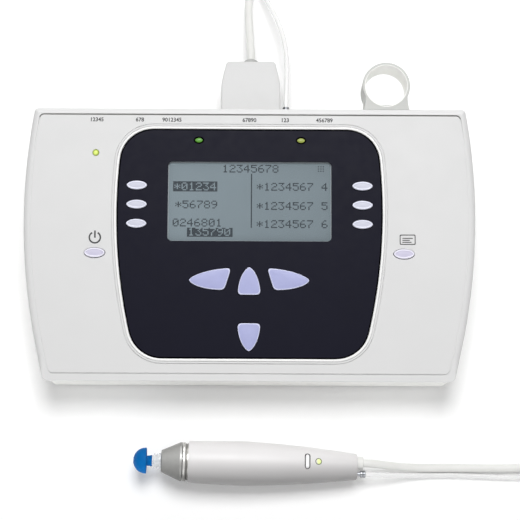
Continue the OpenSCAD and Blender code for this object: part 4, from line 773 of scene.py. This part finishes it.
def fascia():
    shape = Shape()
    # The outer edge takes the near-black finish: painted shade.
    shape.tone = 1
    rings = shape.skin(layers(fascia_outline, [
        (0, FASCIA_LOW), (0, FASCIA_TOP - 0.5), (0.65, FASCIA_TOP - 0.1), (0.8, FASCIA_TOP)]))
    shape.tone = 0
    outlines = [box_outline(SCREEN_W, SCREEN_H, SCREEN_R, 0, SCREEN_V)]
    outlines += [key_hole(name) for name in KEYS if KEYS[name][0] != "oval"]
    holes = [well(shape, points, FASCIA_TOP, FASCIA_LOW, FASCIA_LIP) for points in outlines]
    # The surrounds of the ear lamps take it too: painted shade.
    shape.tone = 1
    rows = ((2 * EAR_RIM, 0.1, FASCIA_TOP), (0, EAR_POINT, FASCIA_TOP - 0.06), (0, EAR_POINT, FASCIA_LOW))
    for side in (-1, 1):
        holes.append(shape.skin([at(ear_oval(side, 0.2 + grow, point), z) for grow, point, z in rows])[0])
    shape.tone = 0
    shape.fill(rings[-1], *holes)
    build("fascia", shape, FACE, [FASCIA, FASCIA_EDGE_SHADE], "console", ["fascia_panel"], 40)


KEY_FOOT, KEY_FLANGE, STEM_R, STEM_FOOT = -3.7, 0.9, 1.6, -4.2
# For each kind of key: its finishes, its slot, the widths of its bevel and rim, and the height of its crown.
# The finishes are painted shade for the skirt in the gap, a painted highlight for the bevel and rim, and the
# top's own tone.
ARROW_LOOK = ([KEY_GAP_SHADE, KEY_LAVENDER_HIGHLIGHT, KEY_LAVENDER], "key_plastic", 0.6, None, 0.2)
KEY_LOOKS = {"soft": ([KEY_GAP_SHADE, KEY_PALE_HIGHLIGHT, KEY_PALE], "soft_key_plastic", 0.55, 0.8, 0.1),
             "oval": ([KEY_GAP_SHADE, KEY_OVAL_HIGHLIGHT, KEY_OVAL], "soft_key_plastic", 0.55, 0.75, 0.1)}


def make_key(name):
    kind, x, v = KEYS[name]
    finishes, slot, bevel, rim, crown = KEY_LOOKS.get(kind, ARROW_LOOK)

    def placed(cut):
        return key_hole(name, -cut)

    shape = Shape()
    # The skirt takes the dark finish: painted shade in the gap.
    skirt = shape.skin(layers(placed, [
        (-1, KEY_FOOT), (-1, KEY_FOOT + KEY_FLANGE), (0, KEY_FOOT + KEY_FLANGE), (0, 0.05)]))
    shape.fill(skirt[0])
    stem = shape.skin([at(circle(STEM_R, x, v, 20), z) for z in (KEY_FOOT, STEM_FOOT)])
    shape.fill(stem[-1])
    # Bevel and rim take the lighter finish: a painted highlight.
    shape.tone = 1
    rows = [(0, 0.05)] + [(bevel * (1 - cos(a)), KEY_RISE - 0.2 + (KEY_DOME - 0.1) * sin(a))
                          for a in [radians(18 * i) for i in range(6)]]
    if rim:
        rows += [(rim, rows[-1][1] + 0.02), (rim + 0.15, rows[-1][1] - 0.08)]
    rings = shape.skin(layers(placed, rows))
    shape.tone = 2
    shape.crown(rings[-1], crown)
    build(name + "_top", shape, FACE, finishes, name + "_cap", [name], crease=50)


def keys():
    for name in KEYS:
        make_key(name)


LAMP_FOOT, POWER_LAMP_TOP, POWER_DOME = -6.6, 0.3, 0.6


def lamps():
    for side, name, made, nodes in ((-1, "left", LAMP_GREEN, ["ear_lamps"]), (1, "right", LAMP_YELLOW, [])):
        shape = Shape()
        rings = shape.skin([at(ear_oval(side, grow), w) for grow, w in
                            ((0, LAMP_FOOT), (0, -0.25), (-0.3, -0.02))])
        shape.crown(rings[-1], 0.3)
        build("ear_lamp_" + name, shape, FACE, made, nodes=nodes)
    shape = Shape()
    shape.skin([at(circle(r, *POWER_LAMP_AT), w) for r, w in (
        (POWER_LAMP_R, LAMP_FOOT), (POWER_LAMP_R, 0.05), (POWER_LAMP_R - 0.1, 0.3),
        (POWER_LAMP_R - 0.35, 0.42), (POWER_CORE_R + 0.1, 0.36), (POWER_CORE_R, POWER_LAMP_TOP))])
    shape.tone = 1
    dome = shape.skin([at(circle(POWER_CORE_R * cos(a), *POWER_LAMP_AT), POWER_LAMP_TOP + POWER_DOME * sin(a))
                       for a in [radians(15 * i) for i in range(6)]])
    shape.fan(dome[-1], (*POWER_LAMP_AT, POWER_LAMP_TOP + POWER_DOME))
    made = [LAMP_POWER_RIM, LAMP_POWER]
    build("power_lamp_dome", shape, FACE, made, "console", ["power_lamp"])


# Screen: dots in a grid, as on such displays. The signs are plain numbers and stars.
DOT_W, DOT_H, DOT_GAP = 0.72, 0.69, 0.02
DOT_COLS, DOT_ROWS = 128, 64
GLYPHS = {
    "0": "01110 10001 10011 10101 11001 10001 01110",
    "1": "00100 01100 00100 00100 00100 00100 01110",
    "2": "01110 10001 00001 00110 01000 10000 11111",
    "3": "11111 00010 00100 00010 00001 10001 01110",
    "4": "00010 00110 01010 10010 11111 00010 00010",
    "5": "11111 10000 11110 00001 00001 10001 01110",
    "6": "00110 01000 10000 11110 10001 10001 01110",
    "7": "11111 00001 00010 00100 01000 01000 01000",
    "8": "01110 10001 10001 01110 10001 10001 01110",
    "9": "01110 10001 10001 01111 00001 00010 01100",
    "*": "00000 00100 10101 01110 10101 00100 00000",
}


def screen_dots():
    dots = {(i, j) for i in (121, 123, 125) for j in (1, 3, 5)}

    def write(text, col, row, on=True):
        for k, sign in enumerate(text):
            for j, line in enumerate(GLYPHS.get(sign, "").split()):
                for i, dot in enumerate(line):
                    if dot == "1":
                        (dots.add if on else dots.discard)((col + 6 * k + i, row + j))

    def bar(col, row, wide, high):
        dots.update((i, j) for i in range(col, col + wide) for j in range(row, row + high))

    write("12345678", 41, 0)
    bar(65, 8, 1, 48)
    bar(0, 15, 37, 9)
    write("*01234", 1, 16, False)
    write("*56789", 2, 32)
    write("0246801", 0, 48)
    bar(12, 56, 38, 8)
    write("135790", 13, 56, False)
    for row, number in ((16, "4"), (33, "5"), (49, "6")):
        write("*1234567 " + number, 70, row)
    return dots


SCREEN_FACE, SCREEN_LOW, SCREEN_LIFT = -2.1, -6.6, 0.03


def screen():
    left, top = -DOT_COLS * DOT_W / 2, SCREEN_V + DOT_ROWS * DOT_H / 2 + 0.6
    ink = Shape()
    for i, j in sorted(screen_dots()):
        ink.bar(left + i * DOT_W, top - (j + 1) * DOT_H + DOT_GAP, DOT_W - DOT_GAP, DOT_H - DOT_GAP,
                SCREEN_FACE + SCREEN_LIFT)
    build("screen_marks", ink, FACE, SCREEN_INK, merge=0)

    def outline(cut):
        return box_outline(SCREEN_W + 2 - 2 * cut, SCREEN_H + 2 - 2 * cut, 1.2, 0, SCREEN_V)

    panel = Shape()
    panel.tone = 1
    rings = panel.skin(layers(outline, [(0, SCREEN_LOW), (0, SCREEN_FACE), (1.5, SCREEN_FACE)]))
    panel.fill(rings[0])
    panel.tone = 0
    panel.fill(rings[-1])
    build("screen_panel", panel, FACE, [SCREEN, SCREEN_EDGE], nodes=["lcd_glass"])
    cover = Shape()
    cover.solid(layers(outline, [(0, -2), (0, -1.2)]))
    build("screen_cover", cover, FACE, WINDOW, nodes=["lcd_window"])


# Printed signs
PRINT_Z, PRINT_V, PRINT_SIZE, PRINT_BOLD = 0.03, 76.6, 2.35, 0.09
PORT_NUMBERS = (("12345", -92.6), ("678", -66.6), ("9012345", -47.2), ("67890", -0.4), ("123", 21.1),
                ("456789", 44.9))


def printed(name, text, x, v, size):
    """A generic number printed on the face."""
    curve = bpy.data.curves.new(name, "FONT")
    curve.body = text
    curve.size = size / 0.7
    curve.align_x = "CENTER"
    curve.align_y = "CENTER"
    curve.resolution_u = 3
    curve.offset = PRINT_BOLD
    source = linked(name, curve)
    bpy.context.view_layer.update()
    mesh = bpy.data.meshes.new_from_object(source)
    shape = Shape()
    shape.ring([(p.co.x + x, p.co.y + v, PRINT_Z) for p in mesh.vertices])
    for polygon in mesh.polygons:
        shape.face(polygon.vertices)
    bpy.data.objects.remove(source)
    build(name, shape, FACE, PRINT, merge=0)


def power_sign(x, v, r=3.3, width=0.95):
    shape = Shape()
    radii = (r - width / 2, r + width / 2)
    shape.skin([at(arc(x, v, k, radians(120), radians(420), 40), PRINT_Z) for k in radii], False)
    shape.bar(x - width / 2, v - 0.2, width, r + 1.1, PRINT_Z)
    build("power_sign", shape, FACE, PRINT)


def screen_sign(x, v, w=9.5, h=6.2, line=0.55):
    """A small picture of a screen with lines on it."""
    shape = Shape()
    frames = ((0, 0.8), (2 * line, 0.5))
    shape.skin([at(box_outline(w - cut, h - cut, r, x, v), PRINT_Z) for cut, r in frames])
    for row, length in ((1.1, 6.2), (-0.1, 4.4), (-1.3, 5.4)):
        shape.bar(x - 3.1, v + row - line, length, line, PRINT_Z)
    build("screen_sign", shape, FACE, PRINT)


def signs():
    for k, (number, x) in enumerate(PORT_NUMBERS, 1):
        printed(f"port_number_{k}", number, x, PRINT_V, PRINT_SIZE)
    power_sign(-92.3, 4.4)
    screen_sign(94.5, 3.9)


# Probe holder and plug
RING_X, RING_Y, RING_R, RING_OUT, RING_TOP, RING_H = 83.2, REAR_Y + 16.2, 12.7, 14.5, 56, 20.5
RING_AHEAD, RING_FOOT, RING_NECK = 15.2, 14.0, 12.9
PLATE_W, PLATE_TOP = 24, 48.2


def ring_outline(cut):
    """The holder seen along its ring's axis: a round ring on a foot that widens towards the console."""
    neck_y = -sqrt(RING_OUT ** 2 - RING_NECK ** 2)
    side = []
    for s in [i / 8 for i in range(9)]:
        side.append((RING_FOOT - cut - (RING_FOOT - RING_NECK) * (1 - (1 - s) ** 2) - cut * s,
                     cut - RING_AHEAD + (RING_AHEAD + neck_y - cut) * s))
    return mirrored(side + arc(0, 0, RING_OUT - cut, atan2(neck_y, RING_NECK), pi / 2, 26, 1))


def holder():
    shape = Shape()
    place = CONSOLE @ Matrix.Translation((RING_X, RING_Y, RING_TOP)) @ Matrix.Rotation(SLOPE, 4, "X")
    rows = rounded([(0.6, -RING_H, 0), (0, -RING_H, 0.5), (0, 0, 0.5), (0.6, 0, 0)])
    outer = shape.skin(layers(ring_outline, rows))
    # The inner wall takes the lighter, faintly glowing finish: painted light.
    shape.tone = 1
    inner = shape.skin([at(circle(RING_R + cut * 0.8, sides=72), z) for cut, z in rows])
    shape.tone = 0
    for end in (0, -1):
        shape.fill(outer[end], inner[end])
    build("holder_ring", shape, place, [HOLDER, RING_INSIDE_LIT], "console", ["probe_holder"], 40)
    plate = Shape()
    for low, depth, r in ((23, 3, 2.5), (37, 7, 1.2)):
        rows = []
        for cut, y in ((0, 0), (0, depth - 0.6), (0.18, depth - 0.18), (0.6, depth)):
            outline = box_outline(PLATE_W - 2 * cut, PLATE_TOP - low - 2 * cut, r - cut, RING_X,
                                  (low + PLATE_TOP) / 2)
            rows.append([(x, REAR_Y + y, z) for x, z in outline])
        plate.fill(plate.skin(rows)[-1])
    build("holder_plate", plate, CONSOLE, HOLDER, crease=40)


HOOD_FROM, HOOD_TO, HOOD_T = REAR_Y + 6.1, 130.3, 15
HOOD_W, HOOD_END_W, HOOD_STRAIGHT, HOOD_CORNER = 37.4, 31.8, 23, 2.5
GLAND_L = 4.1


def hood_outline(cut):
    half, end, r = HOOD_W / 2 - cut, HOOD_END_W / 2 - cut, HOOD_CORNER - cut * 0.7
    straight, last = HOOD_FROM + HOOD_STRAIGHT, HOOD_TO - r - cut
    side = [(half - 0.8, HOOD_FROM + cut), (half, HOOD_FROM + 0.8 + cut), (half, straight)]
    for share in [i / 8 for i in range(1, 8)]:
        side.append((half + (end - half) * share ** 1.5, straight + (last - straight) * share))
    return mirrored(side + arc(end - r, last, r, radians(12), pi / 2, 8))


def hood():
    shape = Shape()
    low, high = AXIS_Z - HOOD_T / 2, AXIS_Z + HOOD_T / 2
    shape.solid(layers(hood_outline, rounded([(1.2, low, 0), (0, low, 1.1), (0, AXIS_Z, 0), (0, high, 1.1),
                                              (1.2, high, 0)])))
    # The gland takes the darker copy of the plastic: painted shade.
    shape.tone = 1
    gland = rounded([(HOOD_TO - 1, 4.5, 0), (HOOD_TO + 3, 4.5, 0.3), (HOOD_TO + 3.1, 3.0, 0.2),
                     (HOOD_TO + GLAND_L, 2.75, 0.2), (HOOD_TO + GLAND_L, 2.4, 0)])
    shape.skin([[(x, y, z) for x, z in circle(r, 0, AXIS_Z, 40)] for y, r in gland])
    build("plug_shell", shape, CONSOLE, [HOOD, GLAND_SHADED], nodes=["plug_hood"], crease=40)


# Probe
NOSE_REAR, NOSE_FRONT, TIP_FRONT, TIP_SHOULDER, CORE_FRONT = -36.95, -51.4, -56.7, -49.2, -31.1
BUTTON_T, BUTTON_L, BUTTON_W, BUTTON_CLEAR, BUTTON_FOOT, BUTTON_HOLE = 34.4, 8.2, 2.3, 0.5, 8.7, (7.2, 20)
PROBE_LAMP_T, PROBE_LAMP_R, PROBE_DOME_R = 40.9, 1.95, 1.5


def pill(grow, steps=12):
    """Outline of a pill that lies across the handle, longer and wider by twice that much."""
    length, r = BUTTON_L + 2 * grow, BUTTON_W / 2 + grow
    return (arc(BUTTON_T, length / 2 - r, r, 0, pi, steps)
            + arc(BUTTON_T, r - length / 2, r, pi, 2 * pi, steps))


def on_handle(x, y, rise):
    """A point over the top of the handle, that far from its skin."""
    return x, y, sqrt((handle_r(x) + rise) ** 2 - y ** 2)


def handle():
    ts = [HANDLE_FRONT + (HANDLE_REAR - HANDLE_FRONT) * i / 90 for i in range(91)]
    side = [(t, handle_r(t)) for t in ts if HANDLE_FRONT + 0.5 < t < HANDLE_REAR - 0.9]
    front = [(HANDLE_FRONT + 3, 0), (HANDLE_FRONT + 3, 9.79), (HANDLE_FRONT, 9.79), (HANDLE_FRONT, 11.7),
             (HANDLE_FRONT + 0.08, 11.95), (HANDLE_FRONT + 0.3, 12.1)]
    rear = [(HANDLE_REAR - 0.5, handle_r(HANDLE_REAR - 0.5)), (HANDLE_REAR - 0.15, 7.4), (HANDLE_REAR, 7.0),
            (HANDLE_REAR, 0)]
    obj = build("handle_shell", spun(front + side + rear, 128), PROBE, PROBE_WHITE, "probe", ["probe_handle"],
                crease=35)
    hole = Shape()
    hole.solid([at(pill(BUTTON_CLEAR), z) for z in BUTTON_HOLE])
    cut_out(obj, build("handle_cutter", hole, ROLLED, HOLE_SHADE, None))
    obj.data.materials.append(HOLE_SHADE)
    even_normals(obj)


def cut_out(obj, cutter):
    """Takes the cutter's shape out of an object."""
    obj.modifiers.clear()
    change = obj.modifiers.new("cut", "BOOLEAN")
    change.operation = "DIFFERENCE"
    change.solver = "EXACT"
    change.object = cutter
    bpy.context.view_layer.update()
    mesh = bpy.data.meshes.new_from_object(obj.evaluated_get(bpy.context.evaluated_depsgraph_get()))
    obj.modifiers.clear()
    obj.data = mesh
    bpy.data.objects.remove(cutter)


def even_normals(obj):
    """Gives the handle's skin the normals of its smooth profile, and the walls of its hole a dark finish that
    paints shade in the hole.
    """
    back = PROBE.inverted()
    turn = PROBE.to_3x3().normalized()
    mesh = obj.data
    mesh.shade_smooth()
    normals = []
    for polygon in mesh.polygons:
        p = back @ polygon.center
        sunk = handle_r(p.x) - sqrt(p.y ** 2 + p.z ** 2) > 0.15
        polygon.material_index = int(sunk and p.z > 0 and abs(p.x - BUTTON_T) < BUTTON_W)
        for corner in polygon.loop_indices:
            p = back @ mesh.vertices[mesh.loops[corner].vertex_index].co
            radius = sqrt(p.y ** 2 + p.z ** 2)
            slope = (handle_r(p.x + 0.01) - handle_r(p.x - 0.01)) / 0.02
            smooth = turn @ Vector((-slope, p.y / max(radius, 0.01), p.z / max(radius, 0.01))).normalized()
            skin = radius > handle_r(p.x) - 0.1 and smooth.dot(polygon.normal) > 0.85
            normals.append(smooth if skin else polygon.normal.copy())
    mesh.normals_split_custom_set(normals)


def button():
    shape = Shape()
    rows = [[(x, y, BUTTON_FOOT) for x, y in pill(0)]]
    for cut, rise in ((0, -0.2), (0.04, -0.02), (0.16, 0.14), (0.35, 0.22), (0.6, 0.26)):
        rows.append([(x, *on_handle(BUTTON_T, y, rise)[1:]) for x, y in pill(-cut)])
    rings = shape.skin(rows)
    shape.fill(rings[0])
    last, count = rings[-1], len(rings[-1])
    half = count // 2
    for low, high in ((0, half), (half, count)):
        for i in range(half // 2):
            a, b, c, d = last[low + i], last[low + i + 1], last[high - 2 - i], last[high - 1 - i]
            if b != c:
                shape.face((a, b, c, d))
    shape.face((last[0], last[half - 1], last[half], last[count - 1]))
    build("button_cap", shape, ROLLED, BUTTON, "probe_push_button", ["probe_button"], 60)


def probe_lamp():
    top = handle_r(PROBE_LAMP_T)
    dome = Shape()
    rows = [(PROBE_DOME_R, top - 2)]
    rows += [(PROBE_DOME_R * cos(a), top - 0.18 + 0.32 * sin(a)) for a in [radians(15 * i) for i in range(6)]]
    rings = dome.skin([at(circle(r, PROBE_LAMP_T), z) for r, z in rows])
    dome.fan(rings[-1], (PROBE_LAMP_T, 0, top + 0.16))
    build("probe_lamp_dome", dome, ROLLED, LAMP_PROBE, "probe", ["probe_lamp"])
    ring = Shape()
    ring.skin([[on_handle(x, y, rise) for x, y in circle(r, PROBE_LAMP_T, 0, 40)] for r, rise in (
        (PROBE_DOME_R, -0.5), (PROBE_DOME_R, 0.05), (PROBE_DOME_R + 0.2, 0.1), (PROBE_LAMP_R, 0.06),
        (PROBE_LAMP_R + 0.02, -0.3))])
    build("probe_lamp_ring", ring, ROLLED, LAMP_RING, "probe", crease=60)


def turned(name, profile, sides, made, body, nodes, crease=40, y=0):
    """A round piece of the probe, from its profile."""
    build(name, spun(profile, sides, y), PROBE, made, body, nodes, crease)


def nose():
    cone = [(-38.95, 9.6, 0), (-38.95, 11.3, 0.15), (-40.25, 11.36, 0.3), (NOSE_FRONT + 0.2, 6.45, 0.6),
            (NOSE_FRONT, 5.9, 0.3), (NOSE_FRONT, 4.85, 0.15), (-49.3, 4.85, 0)]
    turned("nose_shell", rounded(cone), 96, NOSE, "nose_cone", ["probe_nose_cone"])
    rim = [(-38.6, 9.7, 0), (-38.6, 11.5, 0.2), (NOSE_REAR - 0.3, 11.5, 0.3), (NOSE_REAR, 11.1, 0.2),
           (NOSE_REAR, 9.5, 0)]
    turned("nose_rim", rounded(rim), 96, NOSE_RIM, "nose_cone", [])


def thread_ring():
    rows = [(-41.4, 7.05), (-41.4, 9.0)] + [(-41.2 + 0.5 * i, 9.38 if i % 2 else 8.95) for i in range(9)]
    rows += rounded([(-36.9, 9.3, 0), (-36.9, 10.75, 0.15), (-36.5, 10.9, 0.1), (-36.3, 10.4, 0.1),
                     (-36.0, 10.9, 0.1), (-35.4, 10.9, 0), (-35.4, 9.7, 0)])
    turned("thread_ring", rows, 96, CHROME, "probe", ["probe_thread_ring"])


def tip():
    profile = [(TIP_FRONT - 7, 0.8, 0), (TIP_FRONT - 7, 1.6, 0.2), (TIP_FRONT, 1.6, 0), (TIP_FRONT, 3.3, 0.2)]
    for start, end, r in ((1, 1.6, 3.3), (2.5, 3.1, 3.5)):
        profile += [(TIP_FRONT + start, r, 0), (TIP_FRONT + start, 4.6, 0.15), (TIP_FRONT + end, 4.6, 0.15),
                    (TIP_FRONT + end, 3.5, 0)]
    profile += [(TIP_FRONT + 4.1, 3.5, 0), (TIP_FRONT + 4.1, 4.6, 0.15), (TIP_SHOULDER + 0.1, 4.6, 0),
                (TIP_SHOULDER + 0.1, 6, 0.1), (TIP_SHOULDER + 2.4, 6, 0.1), (TIP_SHOULDER + 2.4, 5, 0),
                (CORE_FRONT - 0.3, 5, 0), (CORE_FRONT - 0.3, 2.6, 0), (CORE_FRONT - 9, 2.6, 0),
                (CORE_FRONT - 9, 0.8, 0)]
    profile = rounded(profile, 3)
    turned("tip_clear", profile + [profile[0]], 64, CLEAR, "probe_tip_body", ["probe_tip"])


EAR_R, EAR_L, EAR_REAR = 7.6, 7.6, TIP_FRONT - 3.4


def ear_tip():
    profile = [(EAR_REAR - EAR_L * sin(a) ** 0.92, max(EAR_R * cos(a) ** 0.95, 2.0))
               for a in [radians(84 - 84 * i / 18) for i in range(19)]]
    profile += [(EAR_REAR + 0.12, EAR_R - 0.2), (EAR_REAR + 0.15, EAR_R - 0.5)]
    profile += [(EAR_REAR - (EAR_L - 2) * sin(a), max((EAR_R - 1.1) * cos(a), 3.1))
                for a in [radians(62 * i / 11) for i in range(12)]]
    profile += [(EAR_REAR + 0.6, 3.0), (TIP_FRONT - 1.2, 3.1), (TIP_FRONT - 0.9, 3.3), (TIP_FRONT - 0.3, 3.3),
                (TIP_FRONT - 0.1, 3.1), (TIP_FRONT - 0.1, 1.66), (EAR_REAR - EAR_L + 0.6, 1.66)]
    profile.append(profile[0])
    turned("ear_tip_soft", profile, 80, EAR_BLUE, "soft_ear_tip", ["ear_tip"], 50)


def rear_fittings():
    boot = [(-0.5, 3.8, 0), (BOOT_L, 3.8, 0.8), (BOOT_L, 2.45, 0.2), (BOOT_L - 0.6, 2.42, 0)]
    fitting = [(-1, 1.28, 0), (2, 1.28, 0), (2, 2.1, 0.3), (3.4, 2.1, 0.2), (3.6, 1.8, 0.1), (3.9, 2.1, 0.1),
               (FITTING_L, 2.1, 0.4), (FITTING_L, 1.45, 0)]
    boot, fitting = [rounded([(HANDLE_REAR + t, r, bend) for t, r, bend in rows]) for rows in (boot, fitting)]
    turned("boot", boot, 48, JACKET, "probe", ["cable_boot"], y=CABLE_OFF)
    turned("fitting", fitting, 40, STEEL, "probe", ["probe_air_fitting"], y=AIR_OFF)


FEET_AT = ((94, 60), (-94, 60), (88, -60), (-88, -60))


def feet():
    shape = Shape()
    for x, y in FEET_AT:
        shape.solid([at(circle(r, x, y, 40), z) for r, z in rounded([(4.2, 0, 0), (6, 0, 0.7), (6, 2.6, 0)])])
    build("feet", shape, CONSOLE, RUBBER, nodes=["rubber_feet"], crease=50)


HOSE_R = 1.75
HOSE_ROUTE = [(87, -35, 17), (90, -35, 17), (95, -32, 17.4), (98, -25, 18.2), (99, -14, 19), (98, 2, 20),
              (92, 20, 20), (80, 33, 20), (62, 41, 20), (42, 45, 20), (30, 48, 19), (24, 51, 18.4),
              (22.4, 54, AXIS_Z), (22.4, 57, AXIS_Z)]


def inner_hose():
    build("hose", swept(smooth_route(HOSE_ROUTE, 2.5), HOSE_R, 16), CONSOLE, HOSE, nodes=["inner_air_hose"],
          crease=60)


# Nodes that stay as they are and only get a finish
NODE_FINISHES = (
    (METAL, "lcd_frame pump_motor data_socket probe_socket plug_connector"),
    (BOARD, "key_board main_board probe_board"),
    (DARK, "tactile_switches board_components power_socket printer_socket headphone_jack probe_core"),
    (STEEL, "pump_screw case_screws board_screws holder_screws"),
    (INNER, "pump_piston pump_cylinder"),
    (BRASS, "pressure_manifold"),
    (PORT_METAL, "air_port"),
)


def dress_nodes():
    for made, names in NODE_FINISHES:
        for name in names.split():
            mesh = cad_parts[name].data
            mesh.materials.clear()
            mesh.materials.append(made)


# Floor, light and background. The floor fades to white far from the pieces.
FLOOR_HALF, FLOOR_NEAR, FLOOR_FAR, GLOW_NEAR, GLOW_FAR = 3000, 0.35, 1.0, 0.07, 0.5


def shadow_floor():
    shape = Shape()
    shape.bar(-FLOOR_HALF, -FLOOR_HALF, 2 * FLOOR_HALF, 2 * FLOOR_HALF, 0)
    made = finish("floor", (252, 252, 252), 0.9, 0.002, 400, 0, 1, gloss=0.0,
                  Emission_Color=(1, 1, 1, 1))
    tree = made.node_tree
    reach = add(tree, "VectorMath", {0: add(tree, "TexCoord", {}, "Object")}, "Value", operation="LENGTH")
    level = add(tree, "MapRange", {"Value": reach, "From Min": FLOOR_NEAR, "From Max": FLOOR_FAR,
                                   "To Min": GLOW_NEAR, "To Max": GLOW_FAR})
    glow = add(tree, "Math", {0: add(tree, "LightPath", {}, "Is Camera Ray"), 1: level}, operation="MULTIPLY")
    tree.links.new(glow, tree.nodes["Principled BSDF"].inputs["Emission Strength"])
    floor = build("floor", shape, Matrix.Scale(MM, 4), made, None)
    floor.modifiers.clear()


def area_light(name, place, target, size, power):
    light = linked(name, bpy.data.lights.new(name, "AREA"))
    light.data.size = size
    light.data.energy = power
    light.location = place
    light.rotation_mode = "QUATERNION"
    light.rotation_quaternion = (Vector(target) - Vector(place)).to_track_quat("-Z", "Y")


AMBIENT_FRONT, AMBIENT_BACK, AMBIENT_SIDE = 0.6, 0.36, 0.35


def lights():
    area_light("key_light", (0.03, 0.47, 1.62), (0, -0.02, 0.03), 0.78, 17.4)
    area_light("front_light", (0, -1.3, 0.32), (0, -0.06, 0.03), 0.9, 3.2)
    area_light("back_light", (0.05, 1.8, 0.7), (0, 0, 0.05), 0.8, 4)
    world = bpy.data.worlds.new("studio")
    bpy.context.scene.world = world
    world.use_nodes = True
    tree = world.node_tree
    way = add(tree, "TexCoord", {}, "Generated")
    x, y = [add(tree, "SeparateXYZ", {0: way}, axis) for axis in "XY"]
    ambient = add(tree, "MapRange", {"Value": y, "From Min": -1, "To Min": AMBIENT_FRONT,
                                     "To Max": AMBIENT_BACK})
    aside = add(tree, "Math", {0: x, 1: 2}, operation="POWER")
    dim = add(tree, "MapRange", {"Value": aside, "To Min": 1, "To Max": AMBIENT_SIDE})
    soft = add(tree, "Math", {0: ambient, 1: dim}, operation="MULTIPLY")
    # Rays of the camera, of mirrors and through glass see plain white
    camera_ray, glossy, through = [add(tree, "LightPath", {}, f"Is {kind} Ray")
                                   for kind in ("Camera", "Glossy", "Transmission")]
    shown = add(tree, "Math", {0: camera_ray, 1: glossy}, operation="MAXIMUM")
    shown = add(tree, "Math", {0: shown, 1: through}, operation="MAXIMUM")
    level = add(tree, "MapRange", {"Value": shown, "To Min": soft, "To Max": 1.0})
    background = tree.nodes["Background"].inputs
    background["Color"].default_value = (1, 1, 1, 1)
    tree.links.new(level, background["Strength"])


for make in (upper_shell, lower_shell, fascia, keys, lamps, screen, signs, holder, hood, handle, button,
             probe_lamp, nose, thread_ring, tip, ear_tip, rear_fittings, feet, inner_hose, dress_nodes,
             shadow_floor, lights):
    make()
bpy.context.scene.view_settings.view_transform = "Standard"
